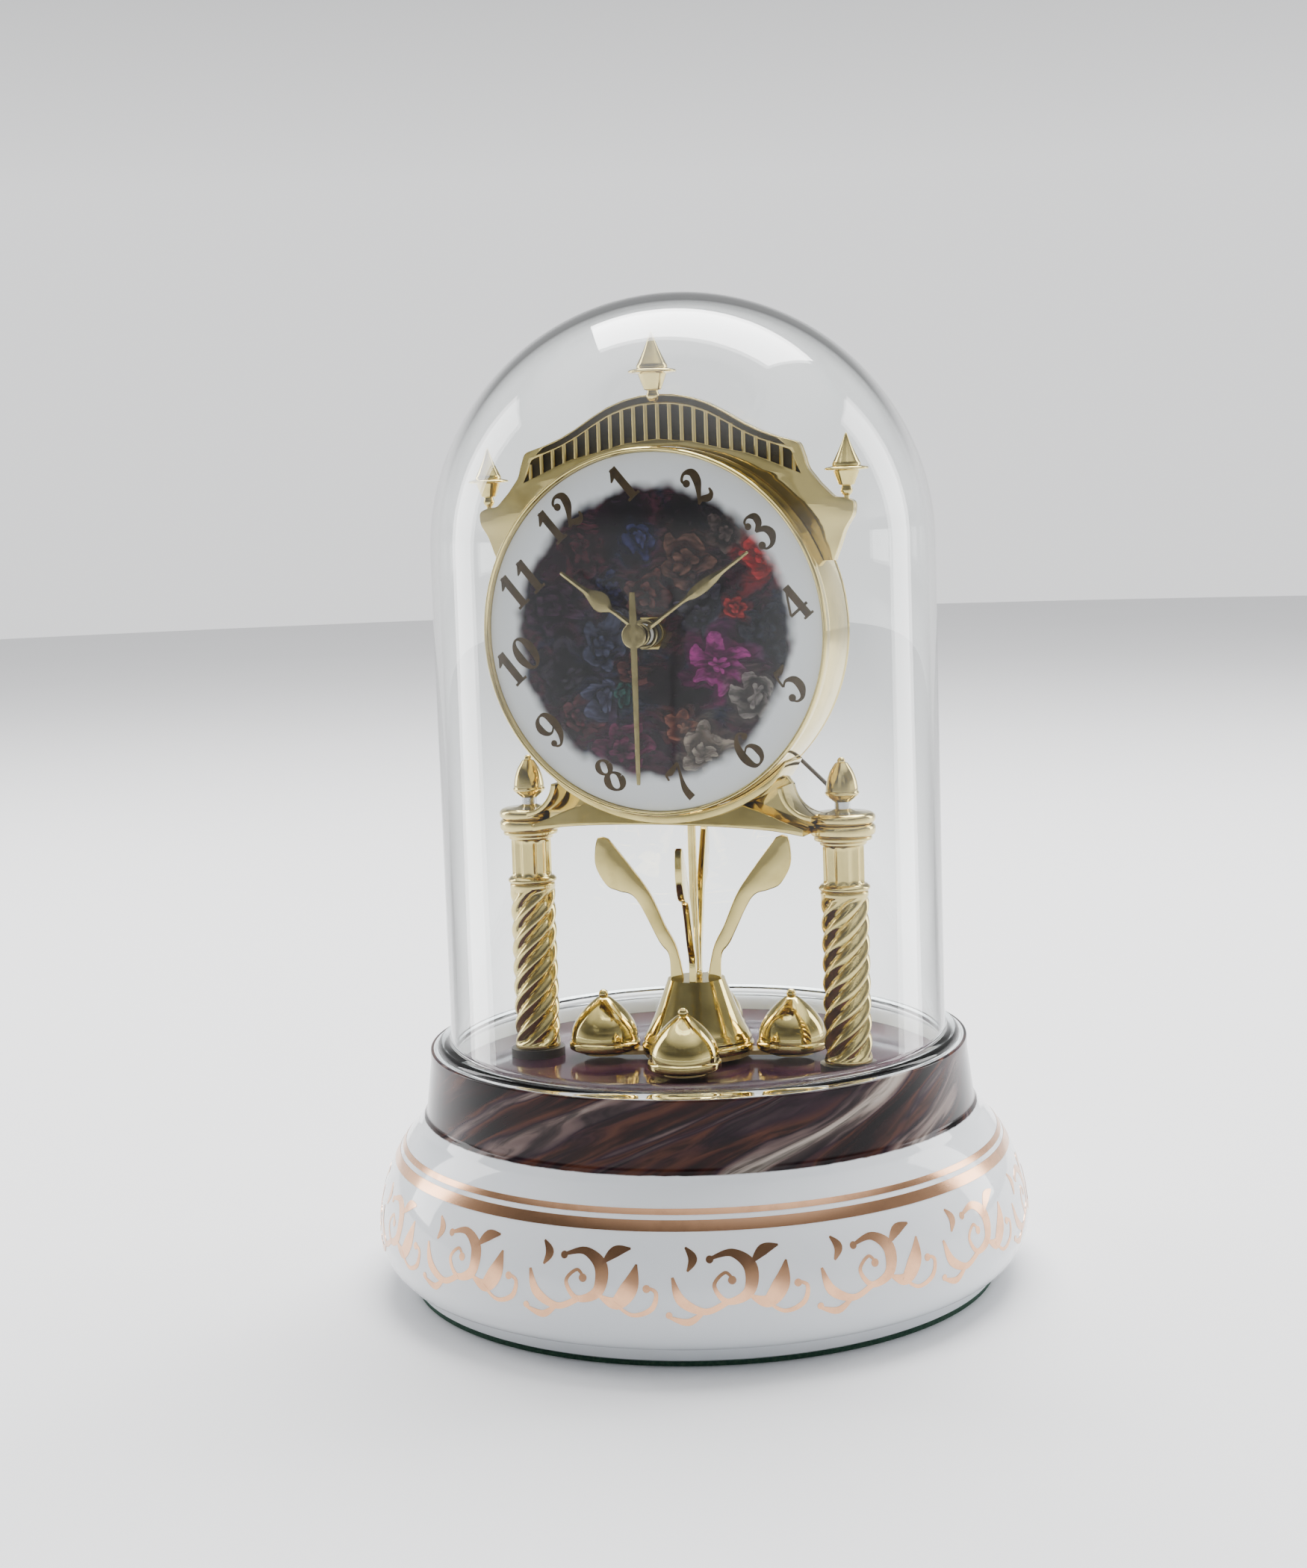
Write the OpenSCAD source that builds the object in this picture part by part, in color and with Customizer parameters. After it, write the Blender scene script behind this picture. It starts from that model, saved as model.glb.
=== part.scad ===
// Anniversary clock: porcelain base, two twisted columns, drum dial, torsion-style
// rotating pendulum and a glass dome. Millimetres, +Z up, dial facing -Y.
// Origin: centre of the base's underside.

/* [Base] */
// Widest radius of the porcelain base
base_r = 76.7; // [74:0.1:78]
// Height of the widest point above the table
base_bulge_z = 13.7; // [12:0.1:16]
// Outer radius of the neck just under the dome
neck_r = 63; // [62.6:0.1:64]
// Height of the porcelain rim that carries the dome
rim_z = 55; // [54:0.5:56]
// Height of the dark platform's upper face
platform_z = 51.5; // [51:0.5:52]
// Thickness of the felt ring under the foot
felt_t = 1; // [0.8:0.1:1.4]

/* [Dome] */
// Outer radius of the glass
dome_r = 58; // [57.8:0.1:58.4]
// Thickness of the glass
dome_wall = 2.4; // [1.8:0.1:2.6]
// Overall height of the clock
clock_h = 228.6; // [227:0.1:232]

/* [Columns] */
// Distance of each column from the centre plane
column_x = 38.8; // [38.6:0.1:39]
// Position of the columns behind the centre line
column_y = -6; // [-6.4:0.1:-5.6]
// Radius of the twisted shaft
shaft_r = 5.4; // [5:0.1:5.8]
// Height of the shaft's upper end
shaft_top = 93; // [91:0.5:94]

/* [Dial case] */
// Height of the hands' axis above the table
dial_z = 152.4; // [152:0.1:153]
// Outer radius of the drum
drum_r = 41.2; // [40.8:0.1:41.6]
// Front face of the dial
dial_front = -20.2; // [-20.4:0.1:-20]
// Rear face of the drum
drum_rear = -4; // [-4.2:0.1:-3.8]

/* [Hands] */
// Hour hand, degrees clockwise from upright
hour_angle = 305.2; // [0:0.1:360]
// Minute hand, degrees clockwise from upright
minute_angle = 55.6; // [0:0.1:360]
// Second hand, degrees clockwise from upright
second_angle = 180; // [0:1:360]

/* [Pendulum] */
// Distance of each ball from the pendulum's axis
ball_orbit = 22.3; // [21:0.1:23]
// Largest radius of a ball
ball_r = 8.4; // [8:0.1:8.6]
// Turn of the pendulum at rest, in degrees
pendulum_turn = 13.2; // [0:0.1:90]

/* [Hidden] */
$fn = 96;

brass = [0.86, 0.74, 0.40];
dark_brass = [0.62, 0.52, 0.28];
steel = [0.72, 0.72, 0.74];
black_plastic = [0.10, 0.10, 0.11];
grey_plastic = [0.45, 0.45, 0.47];

// ---- shared sizes ----
porcelain_t = 4.4;
foot_r = 69;
foot_in_r = 65;
body_arc_r = 35;
foot_arc_h = 9.7;
neck_foot_z = 40.6;
neck_foot_r = 65;
lip_h = 1;
lip_r = 61.8;
shelf_z = 49;
shelf_t = 4;
shelf_r = 52;
recess_r = 57.6;
rod_r = 1.8;
bore_r = 3.6;
wire_r = 0.5;
frame_z = 42.5;
plate_z = 4;
plate_t = 2.5;
plate_r = 64.6;
post_places = [[46, 18], [-46, 18], [0, -54.8]];
tray_y = -26;
cell_pitch = 15.4;
cell_r = 7.25;
cell_len = 49.3;
cell_z = 15.6;
speaker_y = 30;
switch_place = [42, -25];
switch_travel = 6;

// ---- helpers ----
function arc(c, r, from, to, n) =
    [for (i = [0 : n]) let (a = from + (to - from) * i / n) c + r * [cos(a), sin(a)]];
function oval(c, rx, ry, from, to, n) =
    [for (i = [0 : n]) let (a = from + (to - from) * i / n) c + [rx * cos(a), ry * sin(a)]];
function mirrored(points) =
    concat(points, [for (i = [len(points) - 1 : -1 : 0]) [-points[i][0], points[i][1]]]);

// Puts a flat outline, drawn as (x, z), upright with its front face at y
module upright(y, t) {
    translate([0, y, 0]) rotate([90, 0, 0]) translate([0, 0, -t]) linear_extrude(t) children();
}
// Turns a (radius, y) profile round the hands' axis
module on_dial_axis() {
    translate([0, 0, dial_z]) rotate([-90, 0, 0]) rotate_extrude() children();
}
// A solid rod along Y, from y0 to y1
module rod_y(x, z, r, y0, y1) {
    translate([x, y0, z]) rotate([-90, 0, 0]) cylinder(r = r, h = y1 - y0);
}
module box(low, high) {
    translate(low) cube(high - low);
}
module ring(r_out, r_in, z0, z1) {
    difference() {
        translate([0, 0, z0]) cylinder(r = r_out, h = z1 - z0);
        translate([0, 0, z0 - 1]) cylinder(r = r_in, h = z1 - z0 + 2);
    }
}
module at_columns() {
    for (side = [-1, 1]) translate([side * column_x, column_y, 0]) children();
}
module column_place(side) {
    translate([side * column_x, column_y, 0]) children();
}

// ---- base ----
function porcelain_outer() = concat(
    [[foot_r, felt_t]],
    oval([foot_r, base_bulge_z], base_r - foot_r, foot_arc_h, -90, 0, 10),
    arc([base_r - body_arc_r, base_bulge_z], body_arc_r, 5, 46, 10),
    arc([neck_foot_r + 0.6, neck_foot_z + 1.2], 1.2, 235, 180, 3),
    [[neck_r, rim_z], [neck_r, rim_z + lip_h], [lip_r, rim_z + lip_h], [lip_r, rim_z]]);
function porcelain_inner() = concat(
    [[recess_r, rim_z], [recess_r, shelf_z], [shelf_r, shelf_z],
     [shelf_r, shelf_z - shelf_t], [neck_r - porcelain_t, shelf_z - shelf_t]],
    arc([base_r - body_arc_r, base_bulge_z], body_arc_r - porcelain_t, 52, 0, 10),
    oval([foot_in_r, base_bulge_z], base_r - porcelain_t - foot_in_r, foot_arc_h - 1.6, 0, -90, 6),
    [[foot_in_r, felt_t]]);

module porcelain_base() {
    color("white") rotate_extrude($fn = 144) polygon(concat(porcelain_outer(), porcelain_inner()));
}
module felt_ring() {
    color([0.12, 0.25, 0.18]) ring(foot_r - 0.4, foot_in_r + 0.4, 0, felt_t);
}
module platform_plate() {
    color([0.16, 0.09, 0.12]) difference() {
        translate([0, 0, shelf_z]) cylinder(r = recess_r - 0.3, h = platform_z - shelf_z);
        at_columns() translate([0, 0, shelf_z - 1]) cylinder(r = bore_r - 0.1, h = 6);
    }
}
// Moulded frame that the tie rods pull up against the porcelain shelf
module inner_frame() {
    frame_t = shelf_z - shelf_t - frame_z;
    color(grey_plastic) difference() {
        union() {
            translate([0, 0, frame_z]) cylinder(r = 57, h = frame_t);
            for (p = post_places) translate([p[0], p[1], plate_z + plate_t])
                cylinder(r = 3.2, h = frame_z - plate_z - plate_t + 0.5);
        }
        at_columns() translate([0, 0, frame_z - 1]) cylinder(r = rod_r + 0.1, h = 6);
        translate([0, 0, frame_z - 1]) cylinder(r = 22, h = 6);
        translate([column_x, column_y + 5.2, frame_z - 1]) cylinder(r = wire_r + 0.5, h = 6);
        for (p = post_places) translate([p[0], p[1], plate_z]) cylinder(r = 1.3, h = 14);
    }
}
module base_plate() {
    color(black_plastic) difference() {
        union() {
            translate([0, 0, plate_z]) cylinder(r = plate_r, h = plate_t);
            for (s = [-1, 1]) {
                y = tray_y + s * 24.1;
                box([-29, min(y, y + s * 1.5), 1.1], [29, max(y, y + s * 1.5), plate_z + 0.1]);
                box([-29, min(y - s * 1.8, y + s * 1.5), 1.1],
                    [29, max(y - s * 1.8, y + s * 1.5), 1.8]);
            }
        }
        box([-27.5, tray_y - 23.1, 0], [27.5, tray_y + 23.1, 10]);
        for (i = [-3 : 3]) translate([0, speaker_y + i * 5.2, plate_z - 1])
            box([-sqrt(400 - 27 * i * i) , -1.1, 0], [sqrt(400 - 27 * i * i), 1.1, 6]);
        for (p = post_places) translate([p[0], p[1], 0]) cylinder(r = 1.7, h = 10);
        translate([switch_place[0], switch_place[1] + switch_travel / 2, plate_z - 1])
            box([-1.9, -switch_travel / 2 - 2.2, 0], [1.9, switch_travel / 2 + 2.2, 6]);
    }
}
// Pan-head screw pointing along +Z, its head's underside at the origin
module pan_screw(length) {
    difference() {
        union() {
            translate([0, 0, -1.4]) cylinder(r = 2.4, h = 1.4);
            cylinder(r = 1.3, h = length);
        }
        for (a = [0, 90]) rotate([0, 0, a]) box([-1.6, -0.3, -2], [1.6, 0.3, -0.7]);
    }
}
cover_screw_r = 33.9;
module machine_screws() {
    color(steel) {
        for (p = post_places) translate([p[0], p[1], plate_z]) pan_screw(7);
        for (a = [30, 150, 270]) translate([cover_screw_r * cos(a), -2.8, dial_z + cover_screw_r * sin(a)])
            rotate([90, 0, 0]) pan_screw(2.2);
    }
}
tray_z = plate_z + plate_t;
tray_top = 24;
module battery_tray() {
    color(black_plastic) difference() {
        union() {
            box([-29, tray_y - 24.4, tray_z], [29, tray_y + 24.4, tray_top]);
            for (x = [-19, 19], y = [-14, 14]) translate([x, tray_y + y, tray_top - 0.1])
                cylinder(r = 2, h = 3.1);
        }
        for (i = [-1 : 1]) box([-27.5, tray_y + i * cell_pitch - 7.45, tray_z - 1],
                               [27.5, tray_y + i * cell_pitch + 7.45, tray_top - 1.1]);
    }
}
module battery_contacts() {
    color(steel) for (i = [-1 : 1]) {
        y = tray_y + i * cell_pitch;
        s = i == 0 ? 1 : -1;
        for (e = [-1, 1]) box([e > 0 ? 27 : -27.4, y - 5, cell_z - 5], [e > 0 ? 27.4 : -27, y + 5, cell_z + 5]);
        for (k = [0 : 2]) translate([s * (26.75 - k * 0.55), y, cell_z]) rotate([0, 90, 0])
            rotate_extrude($fn = 32) translate([4 - k * 0.9, 0]) circle(r = 0.25, $fn = 16);
    }
}
// Three cells; the middle one lies the other way round
module batteries() {
    for (i = [-1 : 1]) {
        s = i == 0 ? -1 : 1;
        translate([-s * 0.6, tray_y + i * cell_pitch, cell_z]) rotate([0, s * 90, 0]) {
            color([0.75, 0.45, 0.20]) translate([0, 0, -cell_len / 2]) cylinder(r = cell_r, h = cell_len);
            color(steel) translate([0, 0, cell_len / 2]) cylinder(r = 2.7, h = 1.2);
        }
    }
}
door_z = 2.1;
module battery_door() {
    color(black_plastic) difference() {
        union() {
            box([-28.6, tray_y - 23.7, door_z], [28.6, tray_y + 23.7, door_z + 1.5]);
            for (k = [0 : 3]) box([-18 + k * 3, tray_y - 8, door_z - 0.5],
                                  [-17 + k * 3, tray_y + 8, door_z + 0.1]);
        }
        box([26.6, tray_y - 3, 1], [30, tray_y + 3, 3]);
    }
}
module speaker() {
    translate([0, speaker_y, tray_z]) {
        color(steel) rotate_extrude() polygon([[21.5, 0], [24, 0], [24, 1.6], [20.5, 1.6],
            [13, 8], [13, 10.5], [0, 10.5], [0, 9], [11.6, 9], [11.6, 7.2], [19.3, 0.8], [21.5, 0.8]]);
        color(black_plastic) translate([0, 0, 10.5]) cylinder(r = 11, h = 6);
        color([0.25, 0.22, 0.2]) rotate_extrude() polygon([[19.8, 0.8], [19.3, 0.8], [11.6, 7.2],
            [11.6, 9], [6, 9], [6, 5.6], [0, 5.6], [0, 4.8], [6.6, 4.8], [18.6, 0.3], [19.8, 0.3]]);
    }
}
board_z = tray_top + 3;
module chime_board() {
    color([0.10, 0.42, 0.22]) box([-24, tray_y - 17, board_z], [24, tray_y + 17, board_z + 1.6]);
    color(black_plastic) {
        box([-12, tray_y - 5, board_z + 1.6], [2, tray_y + 5, board_z + 4]);
        box([18, -14, board_z + 1.6], [24, -10, board_z + 5]);
        for (x = [-18, 10, 16]) translate([x, tray_y - 10, board_z + 1.6]) cylinder(r = 2.2, h = 7);
    }
}
// Slider reached from below; it travels along +Y
module chime_switch() {
    color([0.8, 0.1, 0.1]) translate([switch_place[0], switch_place[1], 0]) {
        box([-1.5, -1.8, 2.6], [1.5, 1.8, plate_z + plate_t + 0.3]);
        box([-4.5, -3, plate_z + plate_t + 0.3], [4.5, 3, plate_z + plate_t + 2.6]);
    }
}

// ---- columns ----
foot_t = 2;
shaft_z = platform_z + foot_t;
capital_top = 105.6;
eye_top = 108.3;
disc_r = 7.3;
module column_feet() {
    color([0.15, 0.13, 0.12]) at_columns() ring(6.4, bore_r, platform_z, shaft_z);
}
module column_shaft(side) {
    color(brass) column_place(side) ring(shaft_r, bore_r, shaft_z, shaft_top);
}
// Collar, fluted neck and top flange in one turning
module capital(side) {
    flute_r = 4.6;
    color(brass) column_place(side) difference() {
        rotate_extrude() polygon([[bore_r, shaft_top], [5.6, shaft_top], [5.8, shaft_top + 0.8],
            [5.6, shaft_top + 1.6], [flute_r, shaft_top + 1.6], [flute_r, capital_top - 1.6],
            [6.4, capital_top - 1.2], [6.6, capital_top - 0.5], [6.4, capital_top],
            [bore_r, capital_top]]);
        for (k = [0 : 11]) rotate([0, 0, k * 30 + 15]) translate([flute_r + 0.45, 0, shaft_top + 2.2])
            cylinder(r = 0.8, h = capital_top - shaft_top - 4.4, $fn = 24);
    }
}
module acorn_nuts() {
    color(brass) at_columns() difference() {
        rotate_extrude($fn = 64) polygon(concat(
            [[0, eye_top], [disc_r - 0.8, eye_top]],
            arc([disc_r - 1.2, eye_top + 1.2], 1.2, -70, 70, 6),
            [[disc_r - 1.6, eye_top + 2.6], [2.6, eye_top + 2.9], [2.1, eye_top + 3.7],
             [2.3, eye_top + 4.7], [3.1, eye_top + 6.2], [3.3, eye_top + 7.2]],
            arc([-7.7, eye_top + 7.2], 11, 2, 34, 7),
            [[0.9, eye_top + 14], [0.8, eye_top + 14.7], [0, eye_top + 15]]));
        translate([0, 0, eye_top - 1]) cylinder(r = rod_r + 0.05, h = 8.5);
    }
}
module tie_rods() {
    color(steel) at_columns() translate([0, 0, 36]) cylinder(r = rod_r, h = eye_top + 7 - 36);
}
module tie_nuts() {
    color(steel) at_columns() difference() {
        translate([0, 0, frame_z - 3.2]) cylinder(r = 4, h = 3.2, $fn = 6);
        translate([0, 0, frame_z - 5]) cylinder(r = rod_r + 0.02, h = 8);
    }
}

// Lead from the chime board up the right column to the movement, as a swept tube
wire_route = [
    [24.1, -12, 30.3], [28, -11.5, 30.4], [32, -9, 31], [35.5, -5, 33], [38, -2, 36.5],
    [38.8, -0.9, 40], [38.8, -0.8, 44.5], [38.8, -1.3, 46.2], [38.8, -2.8, 48.6],
    [38.8, -3.3, 50.4], [38.8, -3.3, 60], [38.8, -3.3, 75], [38.8, -3.3, 90],
    [38.8, -3.3, 104], [38.8, -3.2, 105.7], [38.8, -2.2, 106.7], [38.8, -0.4, 107],
    [38.8, 2.5, 107.2], [37.8, 5, 108.8], [35, 6.5, 112], [30, 6.6, 116.8],
    [25.5, 6, 121.2], [21.5, 5.2, 124.6], [19, 5, 127.4], [16.8, 4.6, 130.4],
    [15.2, 3, 132.8], [14.6, 0, 134], [14.4, -3, 134.3], [14.4, -5.3, 134.3]];
function unit(v) = v / norm(v);
function heading(i) = unit(wire_route[min(i + 1, len(wire_route) - 1)] - wire_route[max(i - 1, 0)]);
function across(d) = unit(cross(d, abs(d[0]) > 0.9 ? [0, 1, 0] : [1, 0, 0]));
sides = 8;
function wire_ring(i) =
    let (d = heading(i), u = across(d), v = cross(d, u))
    [for (k = [0 : sides - 1]) wire_route[i]
        + wire_r * (cos(360 * k / sides) * u + sin(360 * k / sides) * v)];
module lead_wire() {
    n = len(wire_route);
    color([0.7, 0.1, 0.1]) polyhedron(
        points = [for (i = [0 : n - 1]) each wire_ring(i)],
        faces = concat(
            [[for (k = [0 : sides - 1]) k]],
            [for (i = [0 : n - 2], k = [0 : sides - 1])
                [i * sides + k, (i + 1) * sides + k,
                 (i + 1) * sides + (k + 1) % sides, i * sides + (k + 1) % sides]],
            [[for (k = [sides - 1 : -1 : 0]) (n - 1) * sides + k]]));
}

// ---- dial bracket, case and crown ----
cradle_r = drum_r + 0.05;
cradle_t = 2.1;
bracket_front = -17;
bracket_rear = -7;
rail_half = [[0, 108.7], [12, 108.5], [25, 107.8], [33, 106.6], [33, 108.2], [28.3, 110],
             [23.6, 111.9], [20, 113.2], [0, 113.2]];
web_half = concat([[0, 108.8], [33, 107.2], [35.6, 108.3], [35.6, 110.9]],
                  arc([35.6, 118.4], 7.4, 270, 188, 8), [[26, 120.4], [0, 120.4]]);
module both_halves(points) {
    polygon(mirrored(points));
}
module drum_shadow(r) {
    translate([0, dial_z]) circle(r = r, $fn = 144);
}
module dial_bracket() {
    depth = bracket_rear - bracket_front;
    color(brass) difference() {
        union() {
            upright(bracket_front, depth) difference() {
                both_halves(rail_half);
                drum_shadow(cradle_r);
            }
            upright(bracket_rear - 2, 2) difference() {
                both_halves(web_half);
                drum_shadow(cradle_r);
            }
            upright(bracket_front, depth) difference() {
                both_halves(web_half);
                translate([-35.6, 118.4]) circle(r = 7.4, $fn = 64);
                translate([35.6, 118.4]) circle(r = 7.4, $fn = 64);
                difference() {
                    translate([-40, 100]) square([80, 30]);
                    for (s = [-1, 1]) translate([s * 35.6, 118.4]) circle(r = 8.6, $fn = 64);
                }
                drum_shadow(cradle_r);
            }
            upright(bracket_front, depth + 2) intersection() {
                difference() {
                    drum_shadow(cradle_r + cradle_t);
                    drum_shadow(cradle_r);
                }
                polygon([[0, dial_z], [-60, dial_z - 61.5], [60, dial_z - 61.5]]);
            }
            at_columns() ring(disc_r, 2, capital_top, eye_top);
        }
        at_columns() translate([0, 0, eye_top]) cylinder(r = disc_r + 0.4, h = 12);
        at_columns() translate([0, 0, capital_top - 1]) cylinder(r = bore_r, h = 3);
        at_columns() translate([0, 0, capital_top - 10]) cylinder(r = disc_r + 0.4, h = 10);
        at_columns() translate([0, 0, capital_top - 1]) cylinder(r = rod_r + 0.1, h = 6);
        translate([column_x, column_y, 0]) box([-1, 2, capital_top - 1], [1, 9, capital_top + 2.1]);
    }
}
module dial_case() {
    color(brass) difference() {
        on_dial_axis() polygon([[drum_r - 1.6, dial_front - 0.3 + 1.2], [drum_r, dial_front + 0.9],
            [drum_r, drum_rear], [26, drum_rear], [26, drum_rear - 1.2],
            [drum_r - 1.6, drum_rear - 1.2]]);
        box([-drive_half - 0.2, drum_rear - 2, 120], [drive_half + 0.2, drum_rear + 1, 130]);
        for (a = [30, 150, 270]) translate([cover_screw_r * cos(a), 0, dial_z + cover_screw_r * sin(a)])
            rod_y(0, 0, 1.35, drum_rear - 3, drum_rear + 1);
    }
}
bezel_front = -22;
module bezel() {
    color(brass) on_dial_axis() polygon([[38.6, dial_front], [38.5, dial_front - 0.3],
        [40.4, bezel_front + 0.2], [40.9, bezel_front], [drum_r, bezel_front + 0.4],
        [drum_r, dial_front + 0.9], [drum_r - 1.6, dial_front + 0.9], [drum_r - 1.6, dial_front + 1.8],
        [drum_r - 2, dial_front + 1.8], [drum_r - 2, dial_front]]);
}
dial_t = 2;
dial_r = 39.15;
bush_r = 2.9;
module dial_plate() {
    color([0.95, 0.95, 0.93]) on_dial_axis() polygon([[bush_r + 0.1, dial_front], [dial_r, dial_front],
        [dial_r, dial_front + dial_t], [bush_r + 0.1, dial_front + dial_t]]);
}
cover_r = 31;
cover_flange_r = 36.5;
cover_rear = 14;
knob_place = [9.6 * cos(-45), dial_z + 9.6 * sin(-45)];
module back_cover() {
    color(dark_brass) difference() {
        on_dial_axis() polygon(concat([[cover_r - 1.2, drum_rear], [cover_flange_r, drum_rear],
            [cover_flange_r, drum_rear + 1.2], [cover_r, drum_rear + 1.2]],
            arc([cover_r - 3, cover_rear - 3], 3, 0, 90, 5),
            [[0, cover_rear], [0, cover_rear - 1.2], [cover_r - 3, cover_rear - 1.2],
             [cover_r - 1.2, cover_rear - 3]]));
        rod_y(knob_place[0], knob_place[1], 5.5, 10, 20);
        translate([0, 0, 110]) cylinder(r = 2.6, h = 13.5);
        translate([18.4, 4.95, 128.1]) rotate([0, 144, 0]) translate([0, 0, -4]) cylinder(r = 1.3, h = 8);
        for (a = [30, 150, 270]) translate([cover_screw_r * cos(a), 0, dial_z + cover_screw_r * sin(a)])
            rod_y(0, 0, 1.5, drum_rear - 1, drum_rear + 3);
        for (i = [-2 : 2]) box([-12 + 2 * abs(i), 10, dial_z + 14 + i * 3.2],
                               [12 - 2 * abs(i), 20, dial_z + 15.4 + i * 3.2]);
    }
}
crown_y = -13.5;
crown_t = 3;
crown_half = [[0, 205.3], [4, 205.1], [8, 204.3], [12, 202.9], [16, 200.8], [20, 198.4], [24, 196.4],
              [28, 194.9], [33.1, 193.4], [34.3, 190], [34.9, 187.8], [37.6, 184.4], [40.8, 181.2], [43, 181.2],
              [45.4, 180.2], [45.2, 177.4], [43.2, 174.4], [41.9, 170.8], [40.6, 167.5], [0, 167.5]];
gallery_half = [[0, 203.1], [4, 202.9], [8, 202.1], [12, 200.7], [16, 198.6], [20, 196.3], [24, 194.4],
                [28, 193], [31.4, 191.8], [32.6, 188.6], [33.6, 186.6], [29.9, 188.1], [25.2, 190.1],
                [21.4, 191.5], [15.3, 192.8], [8, 194.6], [0, 195.4]];
rib_pitch = 2.9;
rib_w = 1;
module crown() {
    color(brass) difference() {
        upright(crown_y, crown_t) difference() {
            polygon(mirrored(crown_half));
            drum_shadow(drum_r + 0.02);
        }
        upright(crown_y - 1, 2.4) difference() {
            polygon(mirrored(gallery_half));
            for (k = [-11 : 11]) translate([k * rib_pitch - rib_w / 2, 180]) square([rib_w, 30]);
        }
        rod_y(0, 204, 0.62, crown_y - 1, crown_y + 2);
        for (s = [-1, 1]) translate([s * 43.4, crown_y + crown_t / 2, 178.4]) cylinder(r = 0.62, h = 4);
    }
}
// Finial whose pointed base stands at the origin; k sizes it
module finial(k) {
    rotate_extrude($fn = 64) polygon(k * concat(
        [[0, 0], [0.7, 0.2], [1.3, 0.8], [1.5, 1.5], [1.3, 2.2], [1.2, 2.6], [1.9, 2.9], [2.1, 3.3],
         [2.7, 4.8], [3.2, 6.2], [5.3, 6.6], [5.5, 6.8], [5.2, 7.05], [3.4, 7.5]],
        [for (i = [1 : 8]) [3.4 * pow(1 - i / 8, 1.25) + 0.25 * (i < 8 ? 1 : 0), 7.5 + 8.1 * i / 8]]));
}
top_finial_y = crown_y - 1.7;
module top_finial() {
    color(brass) translate([0, top_finial_y, 203.4]) {
        finial(1);
        rod_y(0, 0.6, 0.6, 0, 3.2);
    }
}
module side_finial(side) {
    color(brass) translate([side * 43.4, crown_y + crown_t / 2, 181.3]) {
        finial(0.88);
        translate([0, 0, -2.4]) cylinder(r = 0.6, h = 3);
    }
}

// ---- quartz movement ----
mv_front = dial_front + dial_t;
mv_rear = -5.3;
mv_half = 25;
mv_wall = 1.2;
mv_split = -11;
hour_pipe_r = 2.4;
cannon_r = 1.5;
seconds_r = 0.6;
play = 0.05;
inter_place = [9.6 * cos(150), dial_z + 9.6 * sin(150)];
rotor_place = [inter_place[0] - 6.3, inter_place[1]];
arbor_r = 0.5;

// Flat gear standing in the XZ plane; phase turns it clockwise from above its first tooth
module gear(teeth, module_mm, y0, t, bore, phase) {
    pitch_r = teeth * module_mm / 2;
    p = 360 / teeth;
    levels = [[-0.27, -0.95], [-0.2, 0], [-0.09, 0.75], [0.09, 0.75], [0.2, 0], [0.27, -0.95]];
    upright(y0, t) difference() {
        polygon([for (i = [0 : teeth - 1], v = levels)
            let (a = phase + p * (i + v[0]), r = pitch_r + v[1] * module_mm) [r * cos(a), r * sin(a)]]);
        if (bore > 0) circle(r = bore);
    }
}
module wall_box(x, y0, y1) {
    translate([0, 0, dial_z]) box([-x, y0, -x], [x, y1, x]);
}
module movement_front() {
    color(black_plastic) difference() {
        union() {
            difference() {
                wall_box(mv_half, mv_front, mv_split);
                wall_box(mv_half - mv_wall, mv_front + mv_wall, mv_split + 1);
            }
            rod_y(0, dial_z, bush_r, mv_front - 4.1, mv_front + 0.1);
        }
        rod_y(0, dial_z, hour_pipe_r + play, mv_front - 6, mv_front + 3);
        for (p = [knob_place, inter_place, rotor_place])
            rod_y(p[0], p[1], arbor_r + play, mv_front + 0.4, mv_front + 3);
    }
}
module movement_back() {
    color(black_plastic) difference() {
        wall_box(mv_half, mv_split, mv_rear);
        wall_box(mv_half - mv_wall, mv_split - 1, mv_rear - mv_wall);
        for (p = [inter_place, rotor_place]) rod_y(p[0], p[1], arbor_r + play, mv_rear - 3, mv_rear - 0.4);
        rod_y(0, dial_z, seconds_r + play, mv_rear - 3, mv_rear - 0.4);
        rod_y(knob_place[0], knob_place[1], 1.2 + play, mv_rear - 3, mv_rear + 1);
    }
}
// Stator plate round the rotor with its coil above
module motor_coil() {
    x = rotor_place[0];
    z = rotor_place[1];
    color(steel) upright(-9.6, 0.8) difference() {
        union() {
            translate([x - 4.5, z - 4.5]) square([9, 16]);
            translate([x, z + 8]) square([30, 3.5]);
            translate([x + 26, z + 3]) square([4, 8.5]);
            translate([x + 3, z + 3]) square([24, 2.4]);
        }
        translate([x, z]) circle(r = 2.4);
        translate([x + 5.5, z + 5.9]) square([19.5, 1.6]);
    }
    color([0.75, 0.40, 0.18]) difference() {
        translate([x + 6.2, -9.2, z + 9.75]) rotate([0, 90, 0]) cylinder(r = 2.6, h = 18);
        box([x, -9.6, z + 8], [x + 30, -8.8, z + 11.5]);
        box([x, -12, z + 5], [x + 30, -4, z + 7.6]);
    }
}
module circuit_board() {
    color([0.10, 0.42, 0.22]) translate([0, 0, dial_z])
        box([-20, -7.4, -23], [23, -6.6, -14]);
    color(steel) crystal_can();
    color(black_plastic) rod_y(4, dial_z - 18.5, 3, -8.4, -7.4);
}
module crystal_can() {
    translate([-16, -8.4, dial_z - 18]) rotate([0, 90, 0]) cylinder(r = 1, h = 6, $fn = 32);
}
second_y = -12.6;
rotor_pinion_y = -11;
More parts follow.
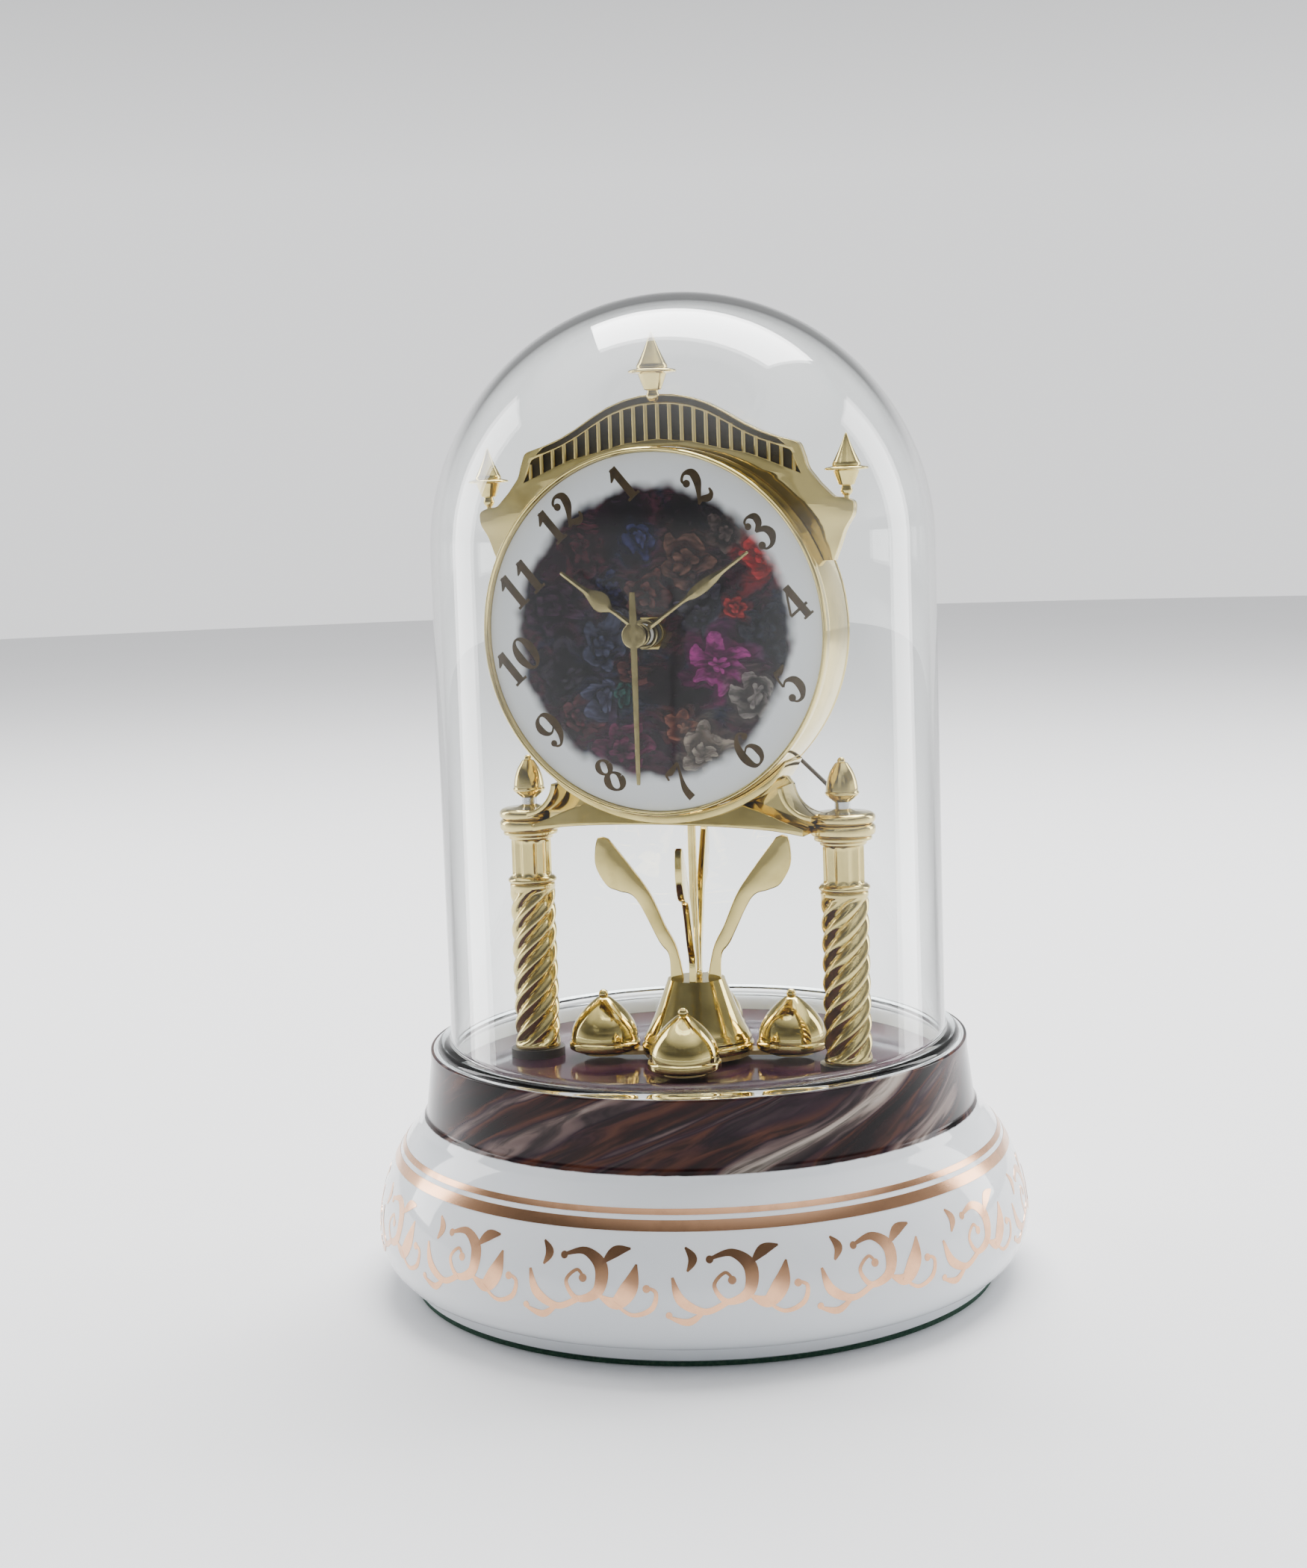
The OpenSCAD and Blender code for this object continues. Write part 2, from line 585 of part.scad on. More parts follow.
module rotor() {
    color([0.3, 0.3, 0.32]) translate([rotor_place[0], 0, rotor_place[1]]) {
        gear(6, 0.3, rotor_pinion_y, 0.8, 0, 30);
        rod_y(0, 0, 1.5, -10, -8.6);
        rod_y(0, 0, arbor_r, mv_front + 0.6, mv_rear - 0.6);
    }
}
module intermediate_wheel() {
    color(dark_brass) translate([inter_place[0], 0, inter_place[1]]) {
        gear(36, 0.3, rotor_pinion_y + 0.1, 0.6, 0, 0);
        gear(8, 0.4, second_y - 0.1, 0.9, 0, -30);
        rod_y(0, 0, arbor_r, mv_front + 0.6, mv_rear - 0.6);
    }
}
module second_wheel() {
    color(dark_brass) translate([0, 0, dial_z]) {
        gear(40, 0.4, second_y, 0.7, 0, 150 + 4.5);
        rod_y(0, 0, seconds_r, -30.7, mv_rear - 0.6);
    }
}
cannon_y = -14.9;
module minute_wheel() {
    color(dark_brass) translate([0, 0, dial_z]) difference() {
        union() {
            gear(12, 0.4, cannon_y - 0.1, 1, 0, -45);
            rod_y(0, 0, cannon_r, -28.4, -13.2);
        }
        rod_y(0, 0, seconds_r + play, -40, 0);
    }
}
module motion_wheel() {
    color("white") translate([knob_place[0], 0, knob_place[1]]) {
        gear(36, 0.4, cannon_y, 0.8, 0, 135 + 5);
        gear(10, 0.384, -16.8, 1.9, 0, 135);
        rod_y(0, 0, arbor_r, mv_front + 0.6, -16.6);
        rod_y(0, 0, 1.2, -14.2, -4.4);
    }
}
module hour_wheel() {
    color("white") translate([0, 0, dial_z]) difference() {
        union() {
            gear(40, 0.384, -16.6, 0.9, 0, -45 + 4.5);
            rod_y(0, 0, hour_pipe_r, -25.4, -15.7);
        }
        rod_y(0, 0, cannon_r + play, -40, 0);
    }
}
module set_knob() {
    color(grey_plastic) translate([knob_place[0], 0, knob_place[1]]) difference() {
        union() {
            rod_y(0, 0, 2.2, -4.4, 12.4);
            rod_y(0, 0, 5, 12.4, 17);
        }
        for (k = [0 : 17]) rotate([0, k * 20, 0]) rod_y(5.2, 0, 0.45, 13.4, 18);
    }
}
module dial_nut() {
    color(brass) translate([0, 0, dial_z]) difference() {
        translate([0, dial_front, 0]) rotate([90, 0, 0]) cylinder(r = 4.1, h = 1.6, $fn = 6);
        rod_y(0, 0, bush_r + 0.02, dial_front - 4, dial_front + 1);
    }
}

// ---- hands, drawn upright ----
hand_t = 0.4;
// Leaf outline: half widths w at the fractions f of the length, mirrored
function leaf(length, start, stations) = mirrored(concat([[0, start]],
    [for (s = stations) [s[1], s[0] * length]], [[0, length]]));
module hand(angle, y, length, start, stations, hub_r, hub_y0, hub_y1, bore, bore_y0) {
    color(brass) translate([0, 0, dial_z]) rotate([0, angle, 0]) difference() {
        union() {
            upright(y, hand_t) polygon(leaf(length, start, stations));
            rod_y(0, 0, hub_r, hub_y0, hub_y1);
        }
        rod_y(0, 0, bore, bore_y0, hub_y1 + 1);
    }
}
module hour_hand() {
    hand(hour_angle, -25.1, 24.2, 1.9,
        [[0.1, 0.75], [0.36, 0.5], [0.42, 1], [0.47, 1.9], [0.53, 2.2], [0.59, 1.8], [0.68, 0.9],
         [0.76, 0.6], [0.96, 0.45]], 3.3, -25.3, -24.2, hour_pipe_r + 0.01, -30);
}
module minute_hand() {
    hand(minute_angle, -28.1, 31.4, 1.2,
        [[0.06, 0.6], [0.4, 0.4], [0.5, 1.1], [0.58, 1.35], [0.68, 1.1], [0.78, 0.5], [0.98, 0.35]],
        2.6, -28.3, -27.2, cannon_r + 0.01, -30);
}
module second_hand() {
    hand(second_angle, -31.1, 32, -9.8,
        [[-0.29, 0.65], [-0.08, 0.9], [0.08, 0.8], [0.99, 0.5]], 2.9, -31.3, -30.6,
        seconds_r + 0.01, -30.7);
}

// ---- pendulum ----
drive_floor = 124.3;
drive_half = 8;
module pendulum_drive() {
    color(black_plastic) difference() {
        box([-drive_half, mv_rear, drive_floor], [drive_half, 8, 138]);
        box([1 - drive_half, mv_rear + 1, drive_floor + 1], [drive_half - 1, 7, 137]);
        translate([0, 0, drive_floor - 1]) cylinder(r = 1.05, h = 4);
    }
}
hub_top = 70.5;
module pendulum_rod() {
    color(brass) translate([0, 0, hub_top - 6]) cylinder(r = 1, h = 126.4 - hub_top + 6);
    color([0.3, 0.3, 0.32]) translate([0, 0, 126.4]) cylinder(r = 3.8, h = 2.4);
}
cross_z = platform_z + 1.1;
cross_t = 1;
leaf_t = 1.6;
module around(i) {
    rotate([0, 0, pendulum_turn - 90 + 90 * i]) children();
}
module pendulum_hub() {
    color(brass) difference() {
        rotate_extrude() polygon(concat([[0, cross_z + cross_t], [13, cross_z + cross_t],
            [13.2, cross_z + cross_t + 1.2], [12.8, cross_z + cross_t + 3.4]],
            [for (i = [0 : 8]) let (t = i / 8) [12.2 - 5.4 * pow(t, 0.85), 59 + (hub_top - 59) * t]],
            [[0, hub_top]]));
        translate([0, 0, hub_top - 6]) cylinder(r = 1.01, h = 10);
        for (i = [0 : 3]) around(i) box([1.5, -leaf_t / 2 - 0.03, 64.9], [12, leaf_t / 2 + 0.03, 90]);
    }
}
module pendulum_cross() {
    color(dark_brass) difference() {
        union() {
            translate([0, 0, cross_z]) cylinder(r = 12.6, h = cross_t);
            for (i = [0 : 3]) around(i) {
                box([0, -2.5, cross_z], [ball_orbit, 2.5, cross_z + cross_t]);
                translate([ball_orbit, 0, cross_z]) cylinder(r = 5, h = cross_t);
            }
        }
        translate([0, 0, cross_z - 1]) cylinder(r = 1.2, h = 4);
    }
}
leaf_inner = [[2.6, 65], [2.9, 70.5], [4.4, 77.8], [7, 83], [10.3, 90.5], [14.8, 97], [19.8, 103.5]];
leaf_outer = [[22, 103.9], [23, 102], [23, 97], [20.5, 92.5], [17.6, 91.1], [13.6, 89.2],
              [8.5, 79.2], [6.3, 76], [6, 70], [6.4, 65]];
module leaf_arm(i) {
    color(brass) around(i) upright(-leaf_t / 2, leaf_t) polygon(concat(leaf_inner, leaf_outer));
}
ball_z = cross_z + cross_t;
module pendulum_ball(i) {
    color(brass) around(i) translate([ball_orbit, 0, ball_z]) rotate_extrude($fn = 64) polygon(concat(
        [[0, 0], [ball_r - 0.6, 0], [ball_r, 0.7], [ball_r, 2], [ball_r - 0.4, 2.6]],
        [for (k = [1 : 12]) let (t = k / 12) [(ball_r - 0.4) * (1 - 0.81 * pow(t, 2.1)), 2.6 + 9.8 * t]],
        [[1.5, 12.7], [1.5, 13.4], [0.9, 14.1], [0, 14.2]]));
}

// ---- dome ----
bead_h = 2.4;
bead_r = 61.4;
module glass_dome() {
    spring_z = clock_h - dome_r;
    inner_r = dome_r - dome_wall;
    color([0.8, 0.9, 0.95, 0.25]) rotate_extrude($fn = 144) polygon(concat(
        [[inner_r, rim_z], [bead_r - 0.6, rim_z]],
        arc([bead_r - 1.2, rim_z + bead_h / 2], bead_h / 2, -60, 80, 6),
        [[dome_r, rim_z + bead_h + 0.6]],
        arc([0, spring_z], dome_r, 0, 90, 20),
        arc([0, spring_z], inner_r, 90, 0, 20)));
}

porcelain_base();
felt_ring();
platform_plate();
inner_frame();
base_plate();
machine_screws();
battery_tray();
battery_contacts();
batteries();
battery_door();
speaker();
chime_board();
chime_switch();
column_feet();
column_shaft(-1);  // column_shaft_left
column_shaft(1);  // column_shaft_right
capital(-1);  // capital_left
capital(1);  // capital_right
acorn_nuts();
tie_rods();
tie_nuts();
lead_wire();
dial_bracket();
dial_case();
bezel();
dial_plate();
back_cover();
crown();
top_finial();
side_finial(-1);  // side_finial_left
side_finial(1);  // side_finial_right
movement_front();
movement_back();
motor_coil();
circuit_board();
rotor();
intermediate_wheel();
second_wheel();
minute_wheel();
motion_wheel();
hour_wheel();
set_knob();
dial_nut();
hour_hand();
minute_hand();
second_hand();
pendulum_drive();
pendulum_rod();
pendulum_hub();
pendulum_cross();
leaf_arm(0);  // leaf_arm_1
leaf_arm(1);  // leaf_arm_2
leaf_arm(2);  // leaf_arm_3
leaf_arm(3);  // leaf_arm_4
pendulum_ball(0);  // pendulum_ball_1
pendulum_ball(1);  // pendulum_ball_2
pendulum_ball(2);  // pendulum_ball_3
pendulum_ball(3);  // pendulum_ball_4
glass_dome();
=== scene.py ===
"""Anniversary clock: its porcelain, brass, painted dial and glass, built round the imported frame."""

import logging
import math
from dataclasses import dataclass, field
from enum import Enum
from typing import Callable, Sequence

import bmesh
import bpy
from mathutils import Matrix, Vector


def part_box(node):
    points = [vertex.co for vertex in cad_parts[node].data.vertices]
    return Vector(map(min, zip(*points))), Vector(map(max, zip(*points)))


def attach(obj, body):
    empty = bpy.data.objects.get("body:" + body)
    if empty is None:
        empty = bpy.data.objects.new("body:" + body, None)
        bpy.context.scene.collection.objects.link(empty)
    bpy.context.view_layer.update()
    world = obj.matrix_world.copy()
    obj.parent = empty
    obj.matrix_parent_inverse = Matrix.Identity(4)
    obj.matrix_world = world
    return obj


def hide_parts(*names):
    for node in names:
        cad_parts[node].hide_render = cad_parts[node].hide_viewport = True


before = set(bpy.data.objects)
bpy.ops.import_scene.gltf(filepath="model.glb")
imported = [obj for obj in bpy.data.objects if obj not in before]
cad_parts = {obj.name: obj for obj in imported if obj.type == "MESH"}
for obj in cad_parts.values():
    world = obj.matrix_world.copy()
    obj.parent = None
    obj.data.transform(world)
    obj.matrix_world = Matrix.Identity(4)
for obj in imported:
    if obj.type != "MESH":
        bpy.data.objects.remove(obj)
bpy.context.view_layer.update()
LOG = logging.getLogger("anniversary_clock")
MM = 0.001

Point2 = tuple[float, float]
Point3 = tuple[float, float, float]
Colour = tuple[float, float, float]


class Body(Enum):
    """The bodies that pieces ride on."""
    CLOCK = "clock"
    DOME = "dome"
    HOUR = "hour"
    MINUTE = "minute"
    SECOND = "second"
    SETTING = "setting"
    PENDULUM = "pendulum"


class Slot(Enum):
    """The record's material slots."""
    PORCELAIN = "porcelain"
    DIAL = "dial_porcelain"
    LACQUER = "platform_lacquer"
    BRASS = "polished_brass"
    HAND = "hand_brass"
    GREY = "grey_plastic"
    GLASS = "dome_glass"


class Turn(Enum):
    """Axis that a turned piece is turned about."""
    UPRIGHT = "upright"
    DIAL = "dial"


@dataclass(frozen=True)
class NodeBox:
    """Lowest and highest corners of a CAD node, in millimetres."""
    low: Vector
    high: Vector

    @classmethod
    def of(cls, node: str) -> "NodeBox":
        """The box of the named node."""
        low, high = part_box(node)
        return cls(low / MM, high / MM)

    @property
    def centre(self) -> Vector:
        """Middle of the box."""
        return (self.low + self.high) / 2


DRUM = NodeBox.of("dial_case")
DIAL_Z = DRUM.centre.z
DRUM_R = DRUM.high.x


# ---- shader graphs ----
class Graph:
    """A material's node tree, with short ways to add and join its nodes."""

    def __init__(self, name: str) -> None:
        """Start a material with one Principled shader on its output.

        Args:
            name: The material's name.
        """
        self.material = bpy.data.materials.new(name)
        self.material.use_nodes = True
        self.tree = self.material.node_tree
        self.shader = self.tree.nodes["Principled BSDF"]
        self.output = self.tree.nodes["Material Output"]

    def add(self, kind: str, *inputs: object, **settings: object) -> bpy.types.Node:
        """Add a node.

        Args:
            kind: The node's type name after "ShaderNode".
            *inputs: Values or sockets for the node's first inputs; None leaves one alone.
            **settings: Attributes of the node.

        Returns:
            The new node.
        """
        node = self.tree.nodes.new("ShaderNode" + kind)
        for key, value in settings.items():
            setattr(node, key, value)
        for index, value in enumerate(inputs):
            if value is not None:
                self.feed(node.inputs[index], value)
        return node

    def feed(self, socket: bpy.types.NodeSocket, value: object) -> None:
        """Link a socket into another, or set its value."""
        if isinstance(value, bpy.types.NodeSocket):
            self.tree.links.new(value, socket)
        elif socket.type == "RGBA" and len(value) == 3:
            socket.default_value = (*value, 1.0)
        else:
            socket.default_value = value

    def math(self, operation: str, *inputs: object, clamp: bool = False) -> bpy.types.NodeSocket:
        """Result of a math node."""
        return self.add("Math", *inputs, operation=operation, use_clamp=clamp).outputs[0]

    def mix(self, factor: object, first: object, second: object) -> bpy.types.NodeSocket:
        """Result of mixing two colours."""
        node = self.add("Mix", data_type="RGBA")
        self.feed(node.inputs["Factor"], factor)
        self.feed(node.inputs[6], first)
        self.feed(node.inputs[7], second)
        return node.outputs[2]

    def step(self, value: object, low: float, high: float) -> bpy.types.NodeSocket:
        """Smooth rise from 0 at low to 1 at high."""
        node = self.add("MapRange", value, low, high, interpolation_type="SMOOTHSTEP")
        return node.outputs[0]

    def place(self, shift: Point3 = (0, 0, 0), turn: Point3 = (0, 0, 0)) -> bpy.types.NodeSocket:
        """Object coordinates in millimetres, moved by shift and then turned."""
        where = self.add("TexCoord").outputs["Object"]
        moved = self.add("Mapping", where, shift, turn, (1000, 1000, 1000))
        return moved.outputs[0]

    def noise(self, where: object, scale: float, detail: float = 3.0,
              rough: float = 0.5) -> bpy.types.NodeSocket:
        """Noise in 0 to 1."""
        node = self.add("TexNoise")
        for key, value in (("Vector", where), ("Scale", scale), ("Detail", detail), ("Roughness", rough)):
            self.feed(node.inputs[key], value)
        return node.outputs[0]

    def ramp(self, value: object, stops: Sequence[tuple[float, Colour]]) -> bpy.types.NodeSocket:
        """Colour ramp with the given stops."""
        node = self.add("ValToRGB", value)
        elements = node.color_ramp.elements
        while len(elements) < len(stops):
            elements.new(0.5)
        for element, (at, colour) in zip(elements, stops):
            element.position = at
            element.color = (*colour, 1.0)
        return node.outputs[0]

    def bump(self, height: object, strength: float, distance: float) -> None:
        """Bump the shader by a height."""
        node = self.add("Bump")
        self.feed(node.inputs["Height"], height)
        node.inputs["Strength"].default_value = strength
        node.inputs["Distance"].default_value = distance
        self.tree.links.new(node.outputs[0], self.shader.inputs["Normal"])

    def set(self, **values: object) -> None:
        """Feed the shader's inputs, named with underscores for spaces."""
        for key, value in values.items():
            self.feed(self.shader.inputs[key.replace("_", " ")], value)


@dataclass(frozen=True)
class Finish:
    """A finish with a base colour that drifts a little and a roughness that varies.

    Attributes:
        name: The material's name.
        base: Main colour.
        drift: Colour of the faint patches.
        metallic: 1 for a metal.
        rough: Lowest and highest roughness.
        grain: Size of the patches in cycles per millimetre.
        relief: Depth of the surface's fine relief, in millimetres.
        relief_scale: Relief's cycles per millimetre.
        coat: Weight of a clear glaze or lacquer.
        specular: Strength of the surface's own reflection, 0.5 for plain glass or paint.
    """
    name: str
    base: Colour
    drift: Colour
    metallic: float = 0.0
    rough: Point2 = (0.3, 0.45)
    grain: float = 0.15
    relief: float = 0.01
    relief_scale: float = 2.0
    coat: float = 0.0
    specular: float = 0.5

    def build(self) -> bpy.types.Material:
        """Make the material, or return the one made before."""
        made = bpy.data.materials.get(self.name)
        if made:
            return made
        graph = Graph(self.name)
        where = graph.place()
        self.paint(graph, where)
        graph.set(Metallic=self.metallic, Coat_Weight=self.coat, Coat_Roughness=0.04,
                  Specular_IOR_Level=self.specular)
        return graph.material

    def paint(self, graph: Graph, where: bpy.types.NodeSocket) -> None:
        """Set colour, roughness and relief."""
        patches = graph.noise(where, self.grain, 4)
        wear = graph.noise(where, self.relief_scale, 2)
        graph.set(Base_Color=graph.mix(graph.step(patches, 0.35, 0.7), self.base, self.drift))
        low, high = self.rough
        graph.set(Roughness=graph.add("MapRange", patches, 0.3, 0.7, low, high).outputs[0])
        graph.bump(wear, 0.35, self.relief * MM)


@dataclass(frozen=True)
class MetalFinish(Finish):
    """Polished or satin metal with hairline polishing marks and a little tarnish."""
    metallic: float = 1.0
    hairline: float = 0.25

    def paint(self, graph: Graph, where: bpy.types.NodeSocket) -> None:
        """Set colour, roughness and the hairlines."""
        patches = graph.noise(where, self.grain, 5, 0.6)
        stretched = graph.add("Mapping", where, None, (0.4, 0.2, 0.3), (0.5, 6.0, 9.0)).outputs[0]
        marks = graph.noise(stretched, 1.2, 3, 0.7)
        specks = graph.noise(where, 3.5, 2, 0.5)
        tarnish = graph.math("MULTIPLY", graph.step(patches, 0.45, 0.75), 0.7)
        speckled = graph.math("MAXIMUM", tarnish, graph.math("MULTIPLY", graph.step(specks, 0.68, 0.8), 0.4))
        graph.set(Base_Color=graph.mix(speckled, self.base, self.drift))
        low, high = self.rough
        spread = graph.math("ADD", graph.math("MULTIPLY", patches, 0.6), graph.math("MULTIPLY", marks, 0.4))
        graph.set(Roughness=graph.add("MapRange", spread, 0.3, 0.7, low, high).outputs[0])
        graph.bump(marks, self.hairline, self.relief * MM)


@dataclass(frozen=True)
class GlassFinish(Finish):
    """Clear blown glass that lets the lamps through."""

    def build(self) -> bpy.types.Material:
        """Make the material."""
        graph = Graph(self.name)
        where = graph.place()
        ripple = graph.noise(where, 0.03, 1)
        graph.set(Base_Color=self.base, Roughness=0.0, IOR=1.45, Transmission_Weight=1.0)
        graph.bump(ripple, 0.15, 0.2 * MM)
        lamps = graph.add("LightPath").outputs["Is Shadow Ray"]
        clear = graph.add("BsdfTransparent", (0.96, 0.97, 0.97)).outputs[0]
        both = graph.add("MixShader", lamps, graph.shader.outputs[0], clear)
        graph.tree.links.new(both.outputs[0], graph.output.inputs["Surface"])
        return graph.material


@dataclass(frozen=True)
class Bloom:
    """One painted flower of the dial's picture.

    Attributes:
        at: Centre, in millimetres from the dial's centre.
        radius: Reach of its petals.
        petals: Number of petals.
        deep: Colour of its folds.
        light: Colour of its petal edges.
        turn: Turn of the petals, in radians.
    """
    at: Point2
    radius: float
    petals: int
    deep: Colour
    light: Colour
    turn: float = 0.0


BLOOMS = (
    Bloom((-24, 6), 10, 5, (0.006, 0.003, 0.008), (0.050, 0.020, 0.044), 0.3),
    Bloom((-17, 19), 9, 6, (0.016, 0.004, 0.010), (0.070, 0.016, 0.024), 1.1),
    Bloom((-20, -9), 10, 5, (0.002, 0.002, 0.005), (0.032, 0.026, 0.040), 0.8),
    Bloom((-18, -19), 7, 5, (0.024, 0.005, 0.010), (0.120, 0.032, 0.040), 0.2),
    Bloom((-6, 24), 9, 6, (0.001, 0.001, 0.003), (0.014, 0.007, 0.016), 0.1),
    Bloom((9, 25), 8, 5, (0.001, 0.001, 0.002), (0.020, 0.010, 0.014), 0.9),
    Bloom((-2, 21), 5, 5, (0.006, 0.007, 0.030), (0.034, 0.040, 0.130), 0.5),
    Bloom((18, 22), 7, 5, (0.018, 0.012, 0.012), (0.105, 0.074, 0.066), 0.6),
    Bloom((8, 16), 9, 5, (0.026, 0.008, 0.008), (0.170, 0.080, 0.056), 0.4),
    Bloom((-9, 10), 7, 6, (0.005, 0.005, 0.020), (0.028, 0.032, 0.090), 0.7),
    Bloom((-1, 8), 9, 5, (0.018, 0.005, 0.007), (0.110, 0.038, 0.032), 1.3),
    Bloom((12, 5), 9, 6, (0.005, 0.005, 0.010), (0.044, 0.040, 0.062), 0.2),
    Bloom((27, 0), 9, 6, (0.005, 0.006, 0.010), (0.030, 0.034, 0.050), 1.0),
    Bloom((-12, -2), 9, 5, (0.009, 0.011, 0.024), (0.062, 0.070, 0.125), 0.2),
    Bloom((-4, -8), 6, 5, (0.028, 0.006, 0.010), (0.140, 0.045, 0.040), 1.4),
    Bloom((5, -12), 9, 6, (0.001, 0.001, 0.002), (0.018, 0.010, 0.016), 0.6),
    Bloom((-12, -15), 7, 5, (0.011, 0.013, 0.028), (0.076, 0.080, 0.140), 0.1),
    Bloom((-7, -14), 4, 5, (0.005, 0.018, 0.016), (0.028, 0.095, 0.080), 0.9),
    Bloom((-8, -26), 10, 6, (0.028, 0.004, 0.018), (0.125, 0.018, 0.060), 0.0),
    Bloom((26, 16), 8, 5, (0.180, 0.003, 0.006), (0.620, 0.028, 0.032), 0.7),
    Bloom((21, 6), 4, 5, (0.100, 0.004, 0.006), (0.420, 0.030, 0.030), 0.2),
    Bloom((16, -7), 10, 6, (0.085, 0.003, 0.050), (0.400, 0.036, 0.250), 0.4),
    Bloom((6, -21), 6, 5, (0.055, 0.013, 0.011), (0.300, 0.105, 0.070), 0.2),
    Bloom((12, -26), 9, 6, (0.080, 0.062, 0.050), (0.400, 0.340, 0.270), 0.5),
    Bloom((23, -14), 7, 5, (0.050, 0.042, 0.038), (0.250, 0.225, 0.200), 1.0),
)


@dataclass(frozen=True)
class PaintedDialFinish(Finish):
    """White glazed dial with a dark bouquet that fades out under the numerals.

    Attributes:
        reach: Radius of the bouquet, in millimetres.
        blooms: Its flowers, lowest first.
    """
    reach: float = 32.8
    blooms: tuple[Bloom, ...] = BLOOMS

    def bloom(self, graph: Graph, where: bpy.types.NodeSocket, under: object, one: Bloom) -> object:
        """Paint one flower over what is there.

        Args:
            graph: The material's graph.
            where: Warped place on the dial, in millimetres.
            under: Colour below.
            one: The flower.

        Returns:
            The colour with the flower on it.
        """
        x, z = one.at
        apart = graph.add("VectorMath", where, (x, 0, z), operation="SUBTRACT").outputs[0]
        parts = graph.add("SeparateXYZ", apart).outputs
        away = graph.add("VectorMath", apart, operation="LENGTH").outputs["Value"]
        angle = graph.math("ARCTAN2", parts[2], parts[0])
        swirl = graph.math("ADD", angle, graph.math("MULTIPLY", away, 0.09))
        lobe = graph.math("ABSOLUTE", graph.math("SINE", graph.math(
            "MULTIPLY", graph.math("ADD", swirl, one.turn), one.petals / 2)))
        edge = graph.math("MULTIPLY", graph.math("ADD", graph.math("MULTIPLY", lobe, 0.35), 0.65), one.radius)
        share = graph.math("DIVIDE", away, edge)
        petal = graph.math("SUBTRACT", 1.0, graph.step(share, 0.62, 1.12))
        layers = graph.math("FRACT", graph.math("MULTIPLY", graph.math("POWER", share, 0.8), 2.6))
        fold = graph.math("MULTIPLY", graph.math("ADD", graph.math("MULTIPLY", lobe, 0.5), 0.35), layers)
        colour = graph.mix(graph.step(fold, 0.05, 0.8), one.deep, one.light)
        return graph.mix(graph.math("MULTIPLY", petal, 0.92), under, colour)

    def build(self) -> bpy.types.Material:
        """Make the material."""
        graph = Graph(self.name)
        where = graph.place((0, 0, -DIAL_Z))
        flat = graph.add("VectorMath", where, (1, 0, 1), operation="MULTIPLY").outputs[0]
        drift = graph.add("TexNoise", noise_dimensions="3D")
        for key, value in (("Vector", flat), ("Scale", 0.10), ("Detail", 4.0)):
            graph.feed(drift.inputs[key], value)
        shove = graph.add("VectorMath", drift.outputs["Color"], (0.5, 0.5, 0.5),
                          operation="SUBTRACT").outputs[0]
        pushed = graph.add("VectorMath", shove, None, None, 9.0, operation="SCALE").outputs[0]
        warped = graph.add("VectorMath", flat, pushed, operation="ADD").outputs[0]
        strokes = graph.add("Mapping", warped, None, (0, 0.6, 0), (0.35, 0.35, 1.1)).outputs[0]
        brush = graph.noise(strokes, 0.9, 5, 0.62)
        colour = graph.ramp(graph.noise(warped, 0.10, 5), (
            (0.28, (0.003, 0.002, 0.006)), (0.42, (0.026, 0.006, 0.020)), (0.50, (0.050, 0.012, 0.022)),
            (0.58, (0.012, 0.014, 0.034)), (0.70, (0.050, 0.052, 0.080))))
        for one in self.blooms:
            colour = self.bloom(graph, warped, colour, one)
        shaded = graph.mix(graph.step(brush, 0.36, 0.66), (0.24, 0.23, 0.25), (0.86, 0.83, 0.84))
        painted = graph.add("Mix", data_type="RGBA", blend_type="MULTIPLY")
        painted.inputs["Factor"].default_value = 0.95
        graph.feed(painted.inputs[6], colour)
        graph.feed(painted.inputs[7], shaded)
        away = graph.add("VectorMath", flat, operation="LENGTH").outputs["Value"]
        ragged = graph.math("ADD", away, graph.math("MULTIPLY", graph.math(
            "SUBTRACT", graph.noise(flat, 0.13, 2, 0.5), 0.5), 5.0))
        bare = graph.step(ragged, self.reach - 1.6, self.reach + 1.5)
        graph.set(Base_Color=graph.mix(bare, painted.outputs[2], self.base), Roughness=0.16,
                  Coat_Weight=self.coat, Coat_Roughness=0.03, Specular_IOR_Level=self.specular)
        graph.bump(graph.noise(where, 0.35, 2), 0.2, 0.02 * MM)
        return graph.material


